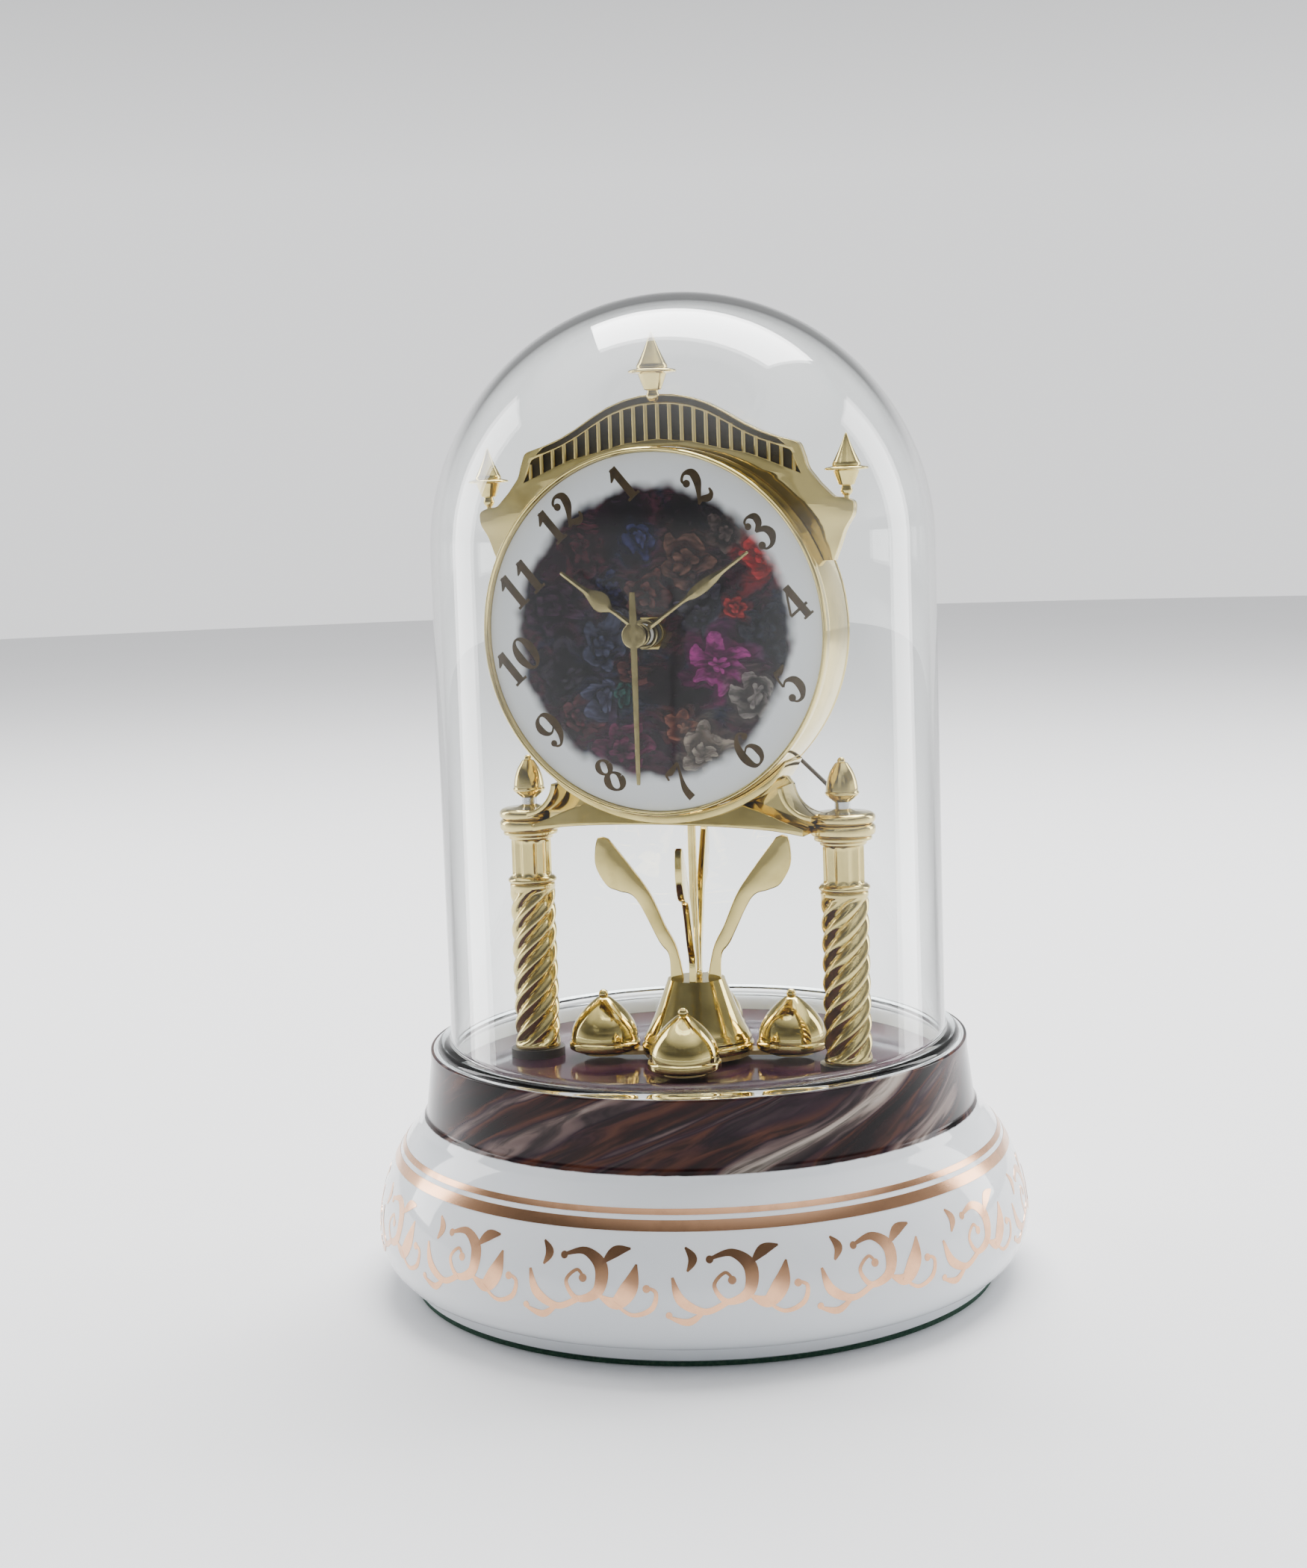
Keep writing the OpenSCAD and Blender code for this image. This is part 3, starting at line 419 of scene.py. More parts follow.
@dataclass(frozen=True)
class PorcelainFinish(Finish):
    """White glazed porcelain whose neck carries a dark painted band of flowing folds.

    Attributes:
        band: Lowest and highest level of the painting, in millimetres.
        inside_r: Radius inside which nothing is painted.
        swirl: Turn of the folds as they rise, in radians per millimetre.
    """
    band: Point2 = (40.3, 57.0)
    inside_r: float = 62.2
    swirl: float = -0.032

    def build(self) -> bpy.types.Material:
        """Make the material."""
        graph = Graph(self.name)
        where = graph.place()
        parts = graph.add("SeparateXYZ", where).outputs
        twirl = graph.add("VectorRotate", where, None, None, graph.math("MULTIPLY", parts[2], self.swirl),
                          rotation_type="Z_AXIS").outputs[0]
        drift = graph.add("TexNoise")
        for key, value in (("Vector", twirl), ("Scale", 0.045), ("Detail", 2.0)):
            graph.feed(drift.inputs[key], value)
        pushed = graph.add("VectorMath", drift.outputs["Color"], None, None, 34.0,
                           operation="SCALE").outputs[0]
        flow = graph.add("VectorMath", twirl, pushed, operation="ADD").outputs[0]
        folds = graph.add("Mapping", flow, None, None, (1.0, 1.0, 0.3)).outputs[0]
        cloth = graph.ramp(graph.noise(folds, 0.055, 2, 0.4), (
            (0.40, (0.003, 0.002, 0.002)), (0.48, (0.030, 0.009, 0.008)), (0.53, (0.075, 0.026, 0.016)),
            (0.58, (0.022, 0.009, 0.016)), (0.64, (0.160, 0.110, 0.100)), (0.74, (0.420, 0.360, 0.310))))
        crease = graph.step(graph.noise(folds, 0.28, 3, 0.55), 0.36, 0.62)
        picture = graph.mix(crease, graph.mix(0.72, cloth, (0.004, 0.003, 0.004)), cloth)
        low = graph.step(graph.math("ADD", parts[2], graph.math("MULTIPLY", graph.noise(where, 0.4), 0.3)),
                         self.band[0], self.band[0] + 0.35)
        high = graph.step(parts[2], self.band[1] - 0.2, self.band[1])
        square = [graph.math("MULTIPLY", part, part) for part in (parts[0], parts[1])]
        out = graph.step(graph.math("SQRT", graph.math("ADD", *square)), self.inside_r, self.inside_r + 0.1)
        mask = graph.math("MULTIPLY", graph.math("MULTIPLY", low, graph.math("SUBTRACT", 1.0, high)), out)
        body = graph.mix(graph.step(graph.noise(where, 0.04, 3), 0.4, 0.7), self.base, self.drift)
        graph.set(Base_Color=graph.mix(mask, body, picture), Roughness=0.12, Coat_Roughness=0.03,
                  Coat_Weight=graph.math("MULTIPLY_ADD", mask, -0.9 * self.coat, self.coat),
                  Specular_IOR_Level=self.specular)
        graph.bump(graph.noise(where, 0.22, 2), 0.25, 0.03 * MM)
        return graph.material


BRASS = MetalFinish("lemon_brass", (0.72, 0.58, 0.23), (0.46, 0.36, 0.12), rough=(0.04, 0.11),
                    grain=0.09, relief=0.005, hairline=0.10)
# Near-black brass for the plates behind the crown's gallery and channel: painted shade in those recesses.
RECESS_SHADE_BRASS = MetalFinish("painted_recess_shade", (0.050, 0.040, 0.020), (0.028, 0.022, 0.012), rough=(0.25, 0.40))
SATIN_BRASS = MetalFinish("satin_brass_sheet", (0.52, 0.39, 0.17), (0.34, 0.24, 0.09), rough=(0.28, 0.42),
                          grain=0.12, relief=0.012, hairline=0.4)
GEAR_BRASS = MetalFinish("gear_brass_cut", (0.66, 0.49, 0.20), (0.48, 0.34, 0.13), rough=(0.22, 0.34))
HAND_BRASS = MetalFinish("hand_brass_sheet", (0.30, 0.25, 0.12), (0.18, 0.14, 0.06), rough=(0.12, 0.22),
                         grain=0.3, relief=0.005)
GILT = MetalFinish("rose_gilding", (0.83, 0.47, 0.27), (0.55, 0.30, 0.17), rough=(0.12, 0.26), grain=0.12,
                   relief=0.004)
NUMERAL_GILT = MetalFinish("numeral_bronze", (0.085, 0.060, 0.036), (0.045, 0.034, 0.022), rough=(0.25, 0.42),
                           grain=0.35, relief=0.004)
STEEL = MetalFinish("zinc_steel", (0.60, 0.61, 0.63), (0.44, 0.44, 0.45), rough=(0.18, 0.34))
SPRING_STEEL = MetalFinish("nickel_contact", (0.68, 0.66, 0.60), (0.50, 0.47, 0.42), rough=(0.14, 0.28))
COPPER = MetalFinish("coil_copper", (0.72, 0.30, 0.12), (0.45, 0.16, 0.06), rough=(0.25, 0.4), relief=0.05,
                     hairline=0.9)
FERRITE = MetalFinish("ferrite", (0.10, 0.10, 0.11), (0.06, 0.06, 0.07), rough=(0.4, 0.6))
SPEAKER_CAN = MetalFinish("speaker_steel", (0.42, 0.43, 0.45), (0.3, 0.3, 0.32), rough=(0.2, 0.35))
PORCELAIN = PorcelainFinish("white_porcelain", (0.82, 0.85, 0.88), (0.79, 0.83, 0.87), coat=0.9,
                            specular=0.12)
DIAL = PaintedDialFinish("painted_dial", (0.80, 0.82, 0.85), (0.80, 0.82, 0.85), coat=0.2, specular=0.3)
GLASS = GlassFinish("clear_glass", (0.97, 0.985, 0.98), (0.97, 0.985, 0.98))
LACQUER = Finish("plum_lacquer", (0.020, 0.008, 0.014), (0.045, 0.016, 0.024), rough=(0.07, 0.13), grain=0.07,
                 relief=0.006, relief_scale=0.4, specular=0.18)
WASHER = Finish("washer_paint", (0.025, 0.02, 0.018), (0.05, 0.04, 0.035), rough=(0.35, 0.5))
FELT = Finish("green_felt", (0.012, 0.05, 0.03), (0.03, 0.08, 0.05), rough=(0.92, 0.98), grain=1.2,
              relief=0.25, relief_scale=5.0)
BLACK_PLASTIC = Finish("black_moulding", (0.014, 0.014, 0.015), (0.024, 0.024, 0.026), rough=(0.38, 0.55),
                       grain=0.3, relief=0.03, relief_scale=6.0)
GREY_PLASTIC = Finish("grey_moulding", (0.16, 0.16, 0.17), (0.20, 0.20, 0.21), rough=(0.35, 0.5), grain=0.3,
                      relief=0.03, relief_scale=6.0)
WHITE_PLASTIC = Finish("white_moulding", (0.78, 0.77, 0.74), (0.72, 0.71, 0.68), rough=(0.3, 0.45))
RED_PLASTIC = Finish("red_moulding", (0.55, 0.02, 0.02), (0.42, 0.015, 0.015), rough=(0.3, 0.45))
WIRE_JACKET = Finish("wire_sleeve", (0.070, 0.050, 0.032), (0.050, 0.036, 0.024), rough=(0.3, 0.42))
CELL_JACKET = Finish("cell_wrap", (0.03, 0.03, 0.032), (0.40, 0.16, 0.03), rough=(0.15, 0.22), grain=0.05,
                     coat=0.5)
BOARD = Finish("board_green", (0.015, 0.11, 0.04), (0.03, 0.17, 0.06), rough=(0.25, 0.4), grain=0.9,
               relief=0.04, relief_scale=3.0)

CAD_FINISHES: dict[str, Finish] = {
    "platform_plate": LACQUER, "felt_ring": FELT, "inner_frame": GREY_PLASTIC, "base_plate": BLACK_PLASTIC,
    "machine_screws": STEEL, "battery_tray": BLACK_PLASTIC, "battery_contacts": SPRING_STEEL,
    "batteries": CELL_JACKET, "battery_door": BLACK_PLASTIC, "speaker": SPEAKER_CAN, "chime_board": BOARD,
    "chime_switch": RED_PLASTIC, "column_feet": WASHER, "tie_rods": STEEL, "tie_nuts": STEEL,
    "lead_wire": WIRE_JACKET, "back_cover": SATIN_BRASS, "movement_front": BLACK_PLASTIC,
    "movement_back": BLACK_PLASTIC, "motor_coil": COPPER, "circuit_board": BOARD, "rotor": FERRITE,
    "intermediate_wheel": GEAR_BRASS, "second_wheel": GEAR_BRASS, "minute_wheel": GEAR_BRASS,
    "motion_wheel": WHITE_PLASTIC, "hour_wheel": WHITE_PLASTIC, "dial_nut": BRASS,
    "pendulum_drive": BLACK_PLASTIC, "pendulum_cross": SATIN_BRASS,
}


# ---- mesh making ----
def link(name: str, mesh: bpy.types.Mesh, sharp: float = 32.0) -> bpy.types.Object:
    """Close a mesh up, turn its faces outwards, smooth it and put it in the scene.

    Args:
        name: The piece's name.
        mesh: Its mesh, in metres.
        sharp: Edges above this many degrees stay crisp.

    Returns:
        The new object.
    """
    work = bmesh.new()
    work.from_mesh(mesh)
    bmesh.ops.remove_doubles(work, verts=work.verts, dist=0.002 * MM)
    bmesh.ops.dissolve_degenerate(work, edges=work.edges, dist=0.001 * MM)
    bmesh.ops.recalc_face_normals(work, faces=work.faces)
    work.to_mesh(mesh)
    work.free()
    mesh.shade_smooth()
    mesh.set_sharp_from_angle(angle=math.radians(sharp))
    piece = bpy.data.objects.new(name, mesh)
    bpy.context.scene.collection.objects.link(piece)
    return piece


def from_points(name: str, points: Sequence[Point3], faces: Sequence[Sequence[int]],
                sharp: float = 32.0) -> bpy.types.Object:
    """A piece from points in millimetres and faces between them."""
    mesh = bpy.data.meshes.new(name)
    mesh.from_pydata([(x * MM, y * MM, z * MM) for x, y, z in points], [], faces)
    return link(name, mesh, sharp)


def evaluated(name: str, source: bpy.types.Object, matrix: Matrix | None = None,
              sharp: float = 32.0) -> bpy.types.Object:
    """Turn an object with modifiers or a curve into a plain piece, and remove the source.

    Args:
        name: The new piece's name.
        source: The object to evaluate.
        matrix: Where the piece's mesh goes.
        sharp: Edges above this many degrees stay crisp.

    Returns:
        The plain piece at the origin.
    """
    graph = bpy.context.evaluated_depsgraph_get()
    mesh = bpy.data.meshes.new_from_object(source.evaluated_get(graph))
    if matrix is not None:
        mesh.transform(matrix)
    bpy.data.objects.remove(source)
    mesh.name = name
    return link(name, mesh, sharp)


def joined(name: str, parts: Sequence[bpy.types.Object]) -> bpy.types.Object:
    """Several parts of one piece as one object.

    Args:
        name: The piece's name.
        parts: The parts, which are used up.

    Returns:
        The joined piece.
    """
    work = bmesh.new()
    mesh = bpy.data.meshes.new(name)
    for part in parts:
        part.data.transform(part.matrix_world)
        work.from_mesh(part.data)
        bpy.data.objects.remove(part)
    work.to_mesh(mesh)
    work.free()
    piece = bpy.data.objects.new(name, mesh)
    bpy.context.scene.collection.objects.link(piece)
    return piece


def arc(centre: Point2, radius: float, start: float, end: float, steps: int) -> list[Point2]:
    """Points along an arc, in degrees."""
    return oval(centre, radius, radius, start, end, steps)


def oval(centre: Point2, rx: float, ry: float, start: float, end: float, steps: int) -> list[Point2]:
    """Points along a stretch of an ellipse, in degrees."""
    turns = [math.radians(start + (end - start) * i / steps) for i in range(steps + 1)]
    return [(centre[0] + rx * math.cos(a), centre[1] + ry * math.sin(a)) for a in turns]


def softened(points: Sequence[Point2], radius: float, closed: bool = True, steps: int = 4) -> list[Point2]:
    """Round an outline's corners.

    Args:
        points: The outline.
        radius: Reach of each rounding, cut down on short edges.
        closed: Whether the last point joins the first.
        steps: Facets in each corner.

    Returns:
        The outline with rounded corners.
    """
    out: list[Point2] = []
    count = len(points)
    for i, corner in enumerate(points):
        if not closed and i in (0, count - 1):
            out.append(corner)
            continue
        here = Vector(corner)
        before = Vector(points[i - 1]) - here
        after = Vector(points[(i + 1) % count]) - here
        reach = min(radius, before.length * 0.45, after.length * 0.45)
        if reach < 1e-6 or before.angle(after, 0) > math.radians(170):
            out.append(corner)
            continue
        first, last = here + before.normalized() * reach, here + after.normalized() * reach
        for k in range(steps + 1):
            t = k / steps
            spot = first * (1 - t) ** 2 + here * (2 * t * (1 - t)) + last * t ** 2
            out.append((spot.x, spot.y))
    return out


def flowing(points: Sequence[Sequence[float]], steps: int = 8) -> list[tuple[float, ...]]:
    """A smooth run through points of any dimension, by Catmull-Rom."""
    out: list[tuple[float, ...]] = []
    last = len(points) - 1
    for i in range(last):
        a, b, c, d = (points[max(0, min(last, i + k))] for k in (-1, 0, 1, 2))
        for k in range(steps):
            t = k / steps
            out.append(tuple(
                0.5 * (2 * q + (r - p) * t + (2 * p - 5 * q + 4 * r - s) * t * t
                       + (3 * q - p - 3 * r + s) * t ** 3)
                for p, q, r, s in zip(a, b, c, d)))
    out.append(tuple(points[last]))
    return out


def turned(name: str, outline: Sequence[Point2], steps: int = 128, about: Turn = Turn.UPRIGHT,
           at: Point2 = (0, 0), sharp: float = 32.0) -> bpy.types.Object:
    """Turn a closed outline round an axis.

    Args:
        name: The piece's name.
        outline: Points (radius, height), or (radius, y) about the dial's axis.
        steps: Facets around.
        about: The axis.
        at: Place of an upright axis.
        sharp: Edges above this many degrees stay crisp.

    Returns:
        The turned piece.
    """
    points: list[Point3] = []
    rows: list[list[int]] = []
    for radius, height in outline:
        count = 1 if radius < 1e-4 else steps
        rows.append(list(range(len(points), len(points) + count)))
        for k in range(count):
            a = 2 * math.pi * k / steps
            u, v = radius * math.cos(a), radius * math.sin(a)
            if about is Turn.UPRIGHT:
                points.append((at[0] + u, at[1] + v, height))
            else:
                points.append((u, height, DIAL_Z + v))
    faces: list[list[int]] = []
    for lower, upper in zip(rows, rows[1:] + rows[:1]):
        if len(lower) == len(upper) == 1:
            continue
        for k in range(steps):
            n = (k + 1) % steps
            quad = [lower[k % len(lower)], lower[n % len(lower)],
                    upper[n % len(upper)], upper[k % len(upper)]]
            faces.append(list(dict.fromkeys(quad)))
    return from_points(name, points, faces, sharp)


def plate(name: str, outlines: Sequence[Sequence[Point2]], front: float, thickness: float, edge: float,
          sharp: float = 32.0) -> bpy.types.Object:
    """A flat plate that faces the front, with rounded edges.

    Args:
        name: The piece's name.
        outlines: Closed outlines in (x, z); inner ones are holes.
        front: Y of the front face.
        thickness: Plate thickness.
        edge: Radius of the rounded edges.
        sharp: Edges above this many degrees stay crisp.

    Returns:
        The plate.
    """
    curve = bpy.data.curves.new(name, "CURVE")
    curve.dimensions = "2D"
    curve.fill_mode = "BOTH"
    curve.extrude = (thickness / 2 - edge) * MM
    curve.bevel_depth = edge * MM
    curve.bevel_resolution = 2
    curve.offset = -edge * MM
    for outline in outlines:
        spline = curve.splines.new("POLY")
        spline.points.add(len(outline) - 1)
        for point, (x, z) in zip(spline.points, outline):
            point.co = (x * MM, z * MM, 0, 1)
        spline.use_cyclic_u = True
    source = bpy.data.objects.new(name, curve)
    bpy.context.scene.collection.objects.link(source)
    upright = Matrix(((1, 0, 0, 0), (0, 0, -1, (front + thickness / 2) * MM), (0, 1, 0, 0), (0, 0, 0, 1)))
    return evaluated(name, source, upright, sharp)


def settle(piece: bpy.types.Object, finish: Finish, body: Body, slot: Slot, *nodes: str) -> bpy.types.Object:
    """Dress a finished piece and hang it on its body.

    Args:
        piece: The piece.
        finish: Its finish.
        body: The body it rides on.
        slot: The record's slot; not used.
        *nodes: CAD nodes it stands for.

    Returns:
        The same piece.
    """
    piece.data.materials.clear()
    piece.data.materials.append(finish.build())
    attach(piece, body.value)
    if nodes:
        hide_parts(*nodes)
    LOG.info("%s: %d faces on %s", piece.name, len(piece.data.polygons), body.value)
    return piece


# ---- strokes, for numerals and gilding ----
@dataclass(frozen=True)
class Stroke:
    """A pen stroke of changing width.

    Attributes:
        points: (x, y, width) along its middle.
        balls: (x, y, radius) of round terminals.
    """
    points: tuple[Point3, ...]
    balls: tuple[Point3, ...] = ()


def inked(strokes: Sequence[Stroke], lay: Callable[[float, float, float], Point3], depth: float,
          size: float = 1.0, weight: float = 1.0) -> tuple[list[Point3], list[list[int]]]:
    """Solid ribbons and dots for strokes, laid on a surface.

    Args:
        strokes: The strokes.
        lay: Takes (x, y, height above the surface) to a place in millimetres.
        depth: Thickness of the ink.
        size: Scale of the strokes.
        weight: Scale of their widths alone.

    Returns:
        The points and the faces.
    """
    points: list[Point3] = []
    faces: list[list[int]] = []
    for rank, stroke in enumerate(strokes):
        top = depth * (1 + 0.06 * rank)
        run = flowing(stroke.points, 7)
        base = len(points)
        for i, (x, y, width) in enumerate(run):
            before, after = run[max(i - 1, 0)], run[min(i + 1, len(run) - 1)]
            along = Vector((after[0] - before[0], after[1] - before[1]))
            side = Vector((-along.y, along.x)).normalized() * max(width * weight, 0.01) / 2
            for sign in (1, -1):
                u, v = (x + sign * side.x) * size, (y + sign * side.y) * size
                points += [lay(u, v, top), lay(u, v, -depth)]
        for i in range(len(run) - 1):
            a, b = base + 4 * i, base + 4 * (i + 1)
            faces += [[a, a + 2, b + 2, b], [a + 1, b + 1, b + 3, a + 3], [a, b, b + 1, a + 1],
                      [a + 2, a + 3, b + 3, b + 2]]
        end = base + 4 * (len(run) - 1)
        faces += [[base, base + 1, base + 3, base + 2], [end, end + 2, end + 3, end + 1]]
        for x, y, radius in stroke.balls:
            base = len(points)
            dot = radius * size * math.sqrt(weight)
            rim = oval((x * size, y * size), dot, dot, 0, 345, 23)
            points += [lay(u, v, top * 1.03) for u, v in rim] + [lay(u, v, -depth) for u, v in rim]
            faces += [list(range(base, base + 24)), list(range(base + 47, base + 23, -1))]
            faces += [[base + k, base + 24 + k, base + 24 + (k + 1) % 24, base + (k + 1) % 24]
                      for k in range(24)]
    return points, faces


def loop_stroke(centre: Point2, rx: float, ry: float, thick: float, thin: float, lean: float) -> Stroke:
    """A closed oval whose width swells on two sides."""
    run = []
    for k in range(17):
        a = 2 * math.pi * k / 16
        swell = math.cos(a - lean) ** 2
        width = thin + (thick - thin) * swell
        run.append((centre[0] + rx * math.cos(a), centre[1] + ry * math.sin(a), width))
    return Stroke(tuple(run))


SIX = (Stroke(((0.48, 0.84, 0.04), (0.42, 0.95, 0.05), (0.28, 0.96, 0.06), (0.11, 0.72, 0.14),
               (0.07, 0.36, 0.18), (0.15, 0.08, 0.11), (0.30, 0.01, 0.05), (0.46, 0.10, 0.10),
               (0.51, 0.30, 0.15), (0.44, 0.50, 0.10), (0.30, 0.57, 0.05), (0.14, 0.46, 0.04)),
              ((0.45, 0.83, 0.08),)),)
DIGITS: dict[str, tuple[Stroke, ...]] = {
    "0": (loop_stroke((0.30, 0.49), 0.22, 0.46, 0.18, 0.05, 0.0),),
    "1": (Stroke(((0.32, 0.0, 0.17), (0.32, 0.5, 0.17), (0.32, 0.98, 0.17))),
          Stroke(((0.06, 0.70, 0.03), (0.18, 0.79, 0.09), (0.32, 0.96, 0.10))),
          Stroke(((0.12, 0.02, 0.06), (0.32, 0.03, 0.06), (0.52, 0.02, 0.06)))),
    "2": (Stroke(((0.13, 0.72, 0.04), (0.11, 0.88, 0.06), (0.28, 0.98, 0.07), (0.46, 0.86, 0.16),
                  (0.44, 0.62, 0.18), (0.28, 0.36, 0.11), (0.08, 0.10, 0.05)), ((0.16, 0.74, 0.09),)),
          Stroke(((0.06, 0.10, 0.05), (0.20, 0.16, 0.11), (0.38, 0.06, 0.15), (0.52, 0.10, 0.09),
                  (0.56, 0.24, 0.04)))),
    "3": (Stroke(((0.12, 0.80, 0.04), (0.15, 0.94, 0.05), (0.30, 0.98, 0.06), (0.46, 0.86, 0.15),
                  (0.42, 0.66, 0.14), (0.22, 0.55, 0.05)), ((0.15, 0.79, 0.08),)),
          Stroke(((0.22, 0.55, 0.05), (0.45, 0.46, 0.13), (0.52, 0.24, 0.17), (0.38, 0.04, 0.10),
                  (0.18, 0.02, 0.05), (0.08, 0.14, 0.04)), ((0.12, 0.17, 0.09),))),
    "4": (Stroke(((0.42, 0.97, 0.05), (0.22, 0.64, 0.05), (0.03, 0.31, 0.05))),
          Stroke(((0.02, 0.30, 0.06), (0.30, 0.30, 0.06), (0.60, 0.30, 0.06))),
          Stroke(((0.42, 0.0, 0.16), (0.42, 0.5, 0.16), (0.42, 0.98, 0.16))),
          Stroke(((0.26, 0.02, 0.05), (0.42, 0.02, 0.05), (0.58, 0.02, 0.05)))),
    "5": (Stroke(((0.14, 0.96, 0.09), (0.30, 0.91, 0.13), (0.50, 0.99, 0.05))),
          Stroke(((0.15, 0.96, 0.05), (0.13, 0.76, 0.05), (0.12, 0.55, 0.05))),
          Stroke(((0.12, 0.54, 0.04), (0.28, 0.63, 0.06), (0.48, 0.50, 0.15), (0.50, 0.24, 0.17),
                  (0.36, 0.03, 0.09), (0.18, 0.02, 0.05), (0.08, 0.14, 0.04)), ((0.12, 0.18, 0.09),))),
    "6": SIX,
    "7": (Stroke(((0.04, 0.76, 0.04), (0.08, 0.92, 0.06), (0.22, 0.90, 0.13), (0.40, 0.94, 0.09),
                  (0.55, 0.98, 0.04))),
          Stroke(((0.55, 0.97, 0.04), (0.37, 0.62, 0.07), (0.25, 0.30, 0.14), (0.25, 0.0, 0.17)))),
    "8": (loop_stroke((0.30, 0.755), 0.165, 0.205, 0.13, 0.05, 2.6),
          loop_stroke((0.30, 0.275), 0.205, 0.255, 0.16, 0.05, 2.6)),
    "9": tuple(Stroke(tuple((0.60 - x, 0.99 - y, w) for x, y, w in s.points),
                      tuple((0.60 - x, 0.99 - y, r) for x, y, r in s.balls)) for s in SIX),
}


# ---- geometry-node trees ----
class NodeSheet:
    """A Geometry Nodes tree with named inputs, built step by step."""

    def __init__(self, name: str) -> None:
        """Start a tree with one geometry output.

        Args:
            name: The tree's name.
        """
        self.tree = bpy.data.node_groups.new(name, "GeometryNodeTree")
        self.tree.is_modifier = True
        self.tree.interface.new_socket("Geometry", in_out="OUTPUT", socket_type="NodeSocketGeometry")
        self.source = self.tree.nodes.new("NodeGroupInput")
        self.sink = self.tree.nodes.new("NodeGroupOutput")
        self.keys: dict[str, str] = {}

    def input(self, name: str, kind: str = "Float") -> bpy.types.NodeSocket:
        """Add a named input and return the socket that reads it."""
        socket = self.tree.interface.new_socket(name, in_out="INPUT", socket_type="NodeSocket" + kind)
        self.keys[name] = socket.identifier
        return self.source.outputs[name]

    def add(self, kind: str, inputs: dict[str, object] | None = None, **settings: object) -> bpy.types.Node:
        """Add a node with inputs given by name.

        Args:
            kind: The node's full type name.
            inputs: Values or sockets by input name.
            **settings: Attributes of the node.

        Returns:
            The new node.
        """
        node = self.tree.nodes.new(kind)
        for key, value in settings.items():
            setattr(node, key, value)
        for key, value in (inputs or {}).items():
            self.feed(node.inputs[key], value)
        return node

    def feed(self, socket: bpy.types.NodeSocket, value: object) -> None:
        """Link a socket into another, or set its value."""
        if isinstance(value, bpy.types.NodeSocket):
            self.tree.links.new(value, socket)
        else:
            socket.default_value = value

    def math(self, operation: str, *values: object) -> bpy.types.NodeSocket:
        """Result of a math node."""
        node = self.tree.nodes.new("ShaderNodeMath")
        node.operation = operation
        for socket, value in zip(node.inputs, values):
            self.feed(socket, value)
        return node.outputs[0]

    def close(self, geometry: bpy.types.NodeSocket, material: bpy.types.NodeSocket) -> None:
        """Realize, set the material and end the tree."""
        real = self.add("GeometryNodeRealizeInstances", {"Geometry": geometry}).outputs[0]
        dressed = self.add("GeometryNodeSetMaterial", {"Geometry": real, "Material": material}).outputs[0]
        self.tree.links.new(dressed, self.sink.inputs[0])

    def grow(self, name: str, values: dict[str, object], seed_mesh: bpy.types.Mesh | None = None,
             sharp: float = 32.0) -> bpy.types.Object:
        """Run the tree and keep its result as a plain piece.

        Args:
            name: The piece's name.
            values: Values of the named inputs.
            seed_mesh: Mesh that the tree starts from.
            sharp: Edges above this many degrees stay crisp.

        Returns:
            The plain piece.
        """
        holder = bpy.data.objects.new(name, seed_mesh or bpy.data.meshes.new(name))
        bpy.context.scene.collection.objects.link(holder)
        modifier = holder.modifiers.new("grow", "NODES")
        modifier.node_group = self.tree
        for key, value in values.items():
            modifier[self.keys[key]] = value
        holder.update_tag()
        return evaluated(name, holder, None, sharp)


def lobed_shaft_tree() -> NodeSheet:
    """Tree for a round bar with lobes or flutes that may twist along it."""
    sheet = NodeSheet("lobed_shaft")
    radius, depth = sheet.input("Radius"), sheet.input("Depth")
    lobes, turns = sheet.input("Lobes"), sheet.input("Turns")
    hollow, fade = sheet.input("Hollow"), sheet.input("Fade")
    height, foot = sheet.input("Height"), sheet.input("Foot")
    across, back = sheet.input("Across"), sheet.input("Back")
    around, along = sheet.input("Around", "Int"), sheet.input("Along", "Int")
    material = sheet.input("Material", "Material")
    bar = sheet.add("GeometryNodeMeshCylinder", {"Vertices": around, "Side Segments": along, "Radius": radius,
                                                 "Depth": height}, fill_type="TRIANGLE_FAN")
    place = sheet.add("GeometryNodeInputPosition").outputs[0]
    x, y, z = sheet.add("ShaderNodeSeparateXYZ", {"Vector": place}).outputs
    level = sheet.math("ADD", sheet.math("DIVIDE", z, height), 0.5)
    angle = sheet.math("ARCTAN2", y, x)
    twist = sheet.math("MULTIPLY", sheet.math("MULTIPLY", level, turns), 2 * math.pi)
    phase = sheet.math("MULTIPLY", sheet.math("MULTIPLY", sheet.math("SUBTRACT", angle, twist), lobes), 0.5)
    wave = sheet.math("ABSOLUTE", sheet.math("SINE", phase))
    ridge = sheet.math("SUBTRACT", 1.0, wave)
    dip = sheet.math("ADD", sheet.math("MULTIPLY", wave, hollow),
                     sheet.math("MULTIPLY", ridge, sheet.math("SUBTRACT", 1.0, hollow)))
    room = sheet.math("MINIMUM", level, sheet.math("SUBTRACT", 1.0, level))
    share = sheet.math("DIVIDE", sheet.math("MULTIPLY", room, height), fade)
    ease = sheet.math("SMOOTH_MIN", share, 1.0, 0.4)
    drop = sheet.math("MULTIPLY", sheet.math("MULTIPLY", dip, depth), ease)
    scale = sheet.math("SUBTRACT", 1.0, sheet.math("DIVIDE", drop, radius))
    moved = sheet.add("ShaderNodeCombineXYZ", {
        "X": sheet.math("ADD", sheet.math("MULTIPLY", x, scale), across),
        "Y": sheet.math("ADD", sheet.math("MULTIPLY", y, scale), back),
        "Z": sheet.math("ADD", sheet.math("ADD", z, foot), sheet.math("MULTIPLY", height, 0.5))}).outputs[0]
    shaped = sheet.add("GeometryNodeSetPosition", {"Geometry": bar.outputs[0], "Position": moved}).outputs[0]
    sheet.close(shaped, material)
    return sheet


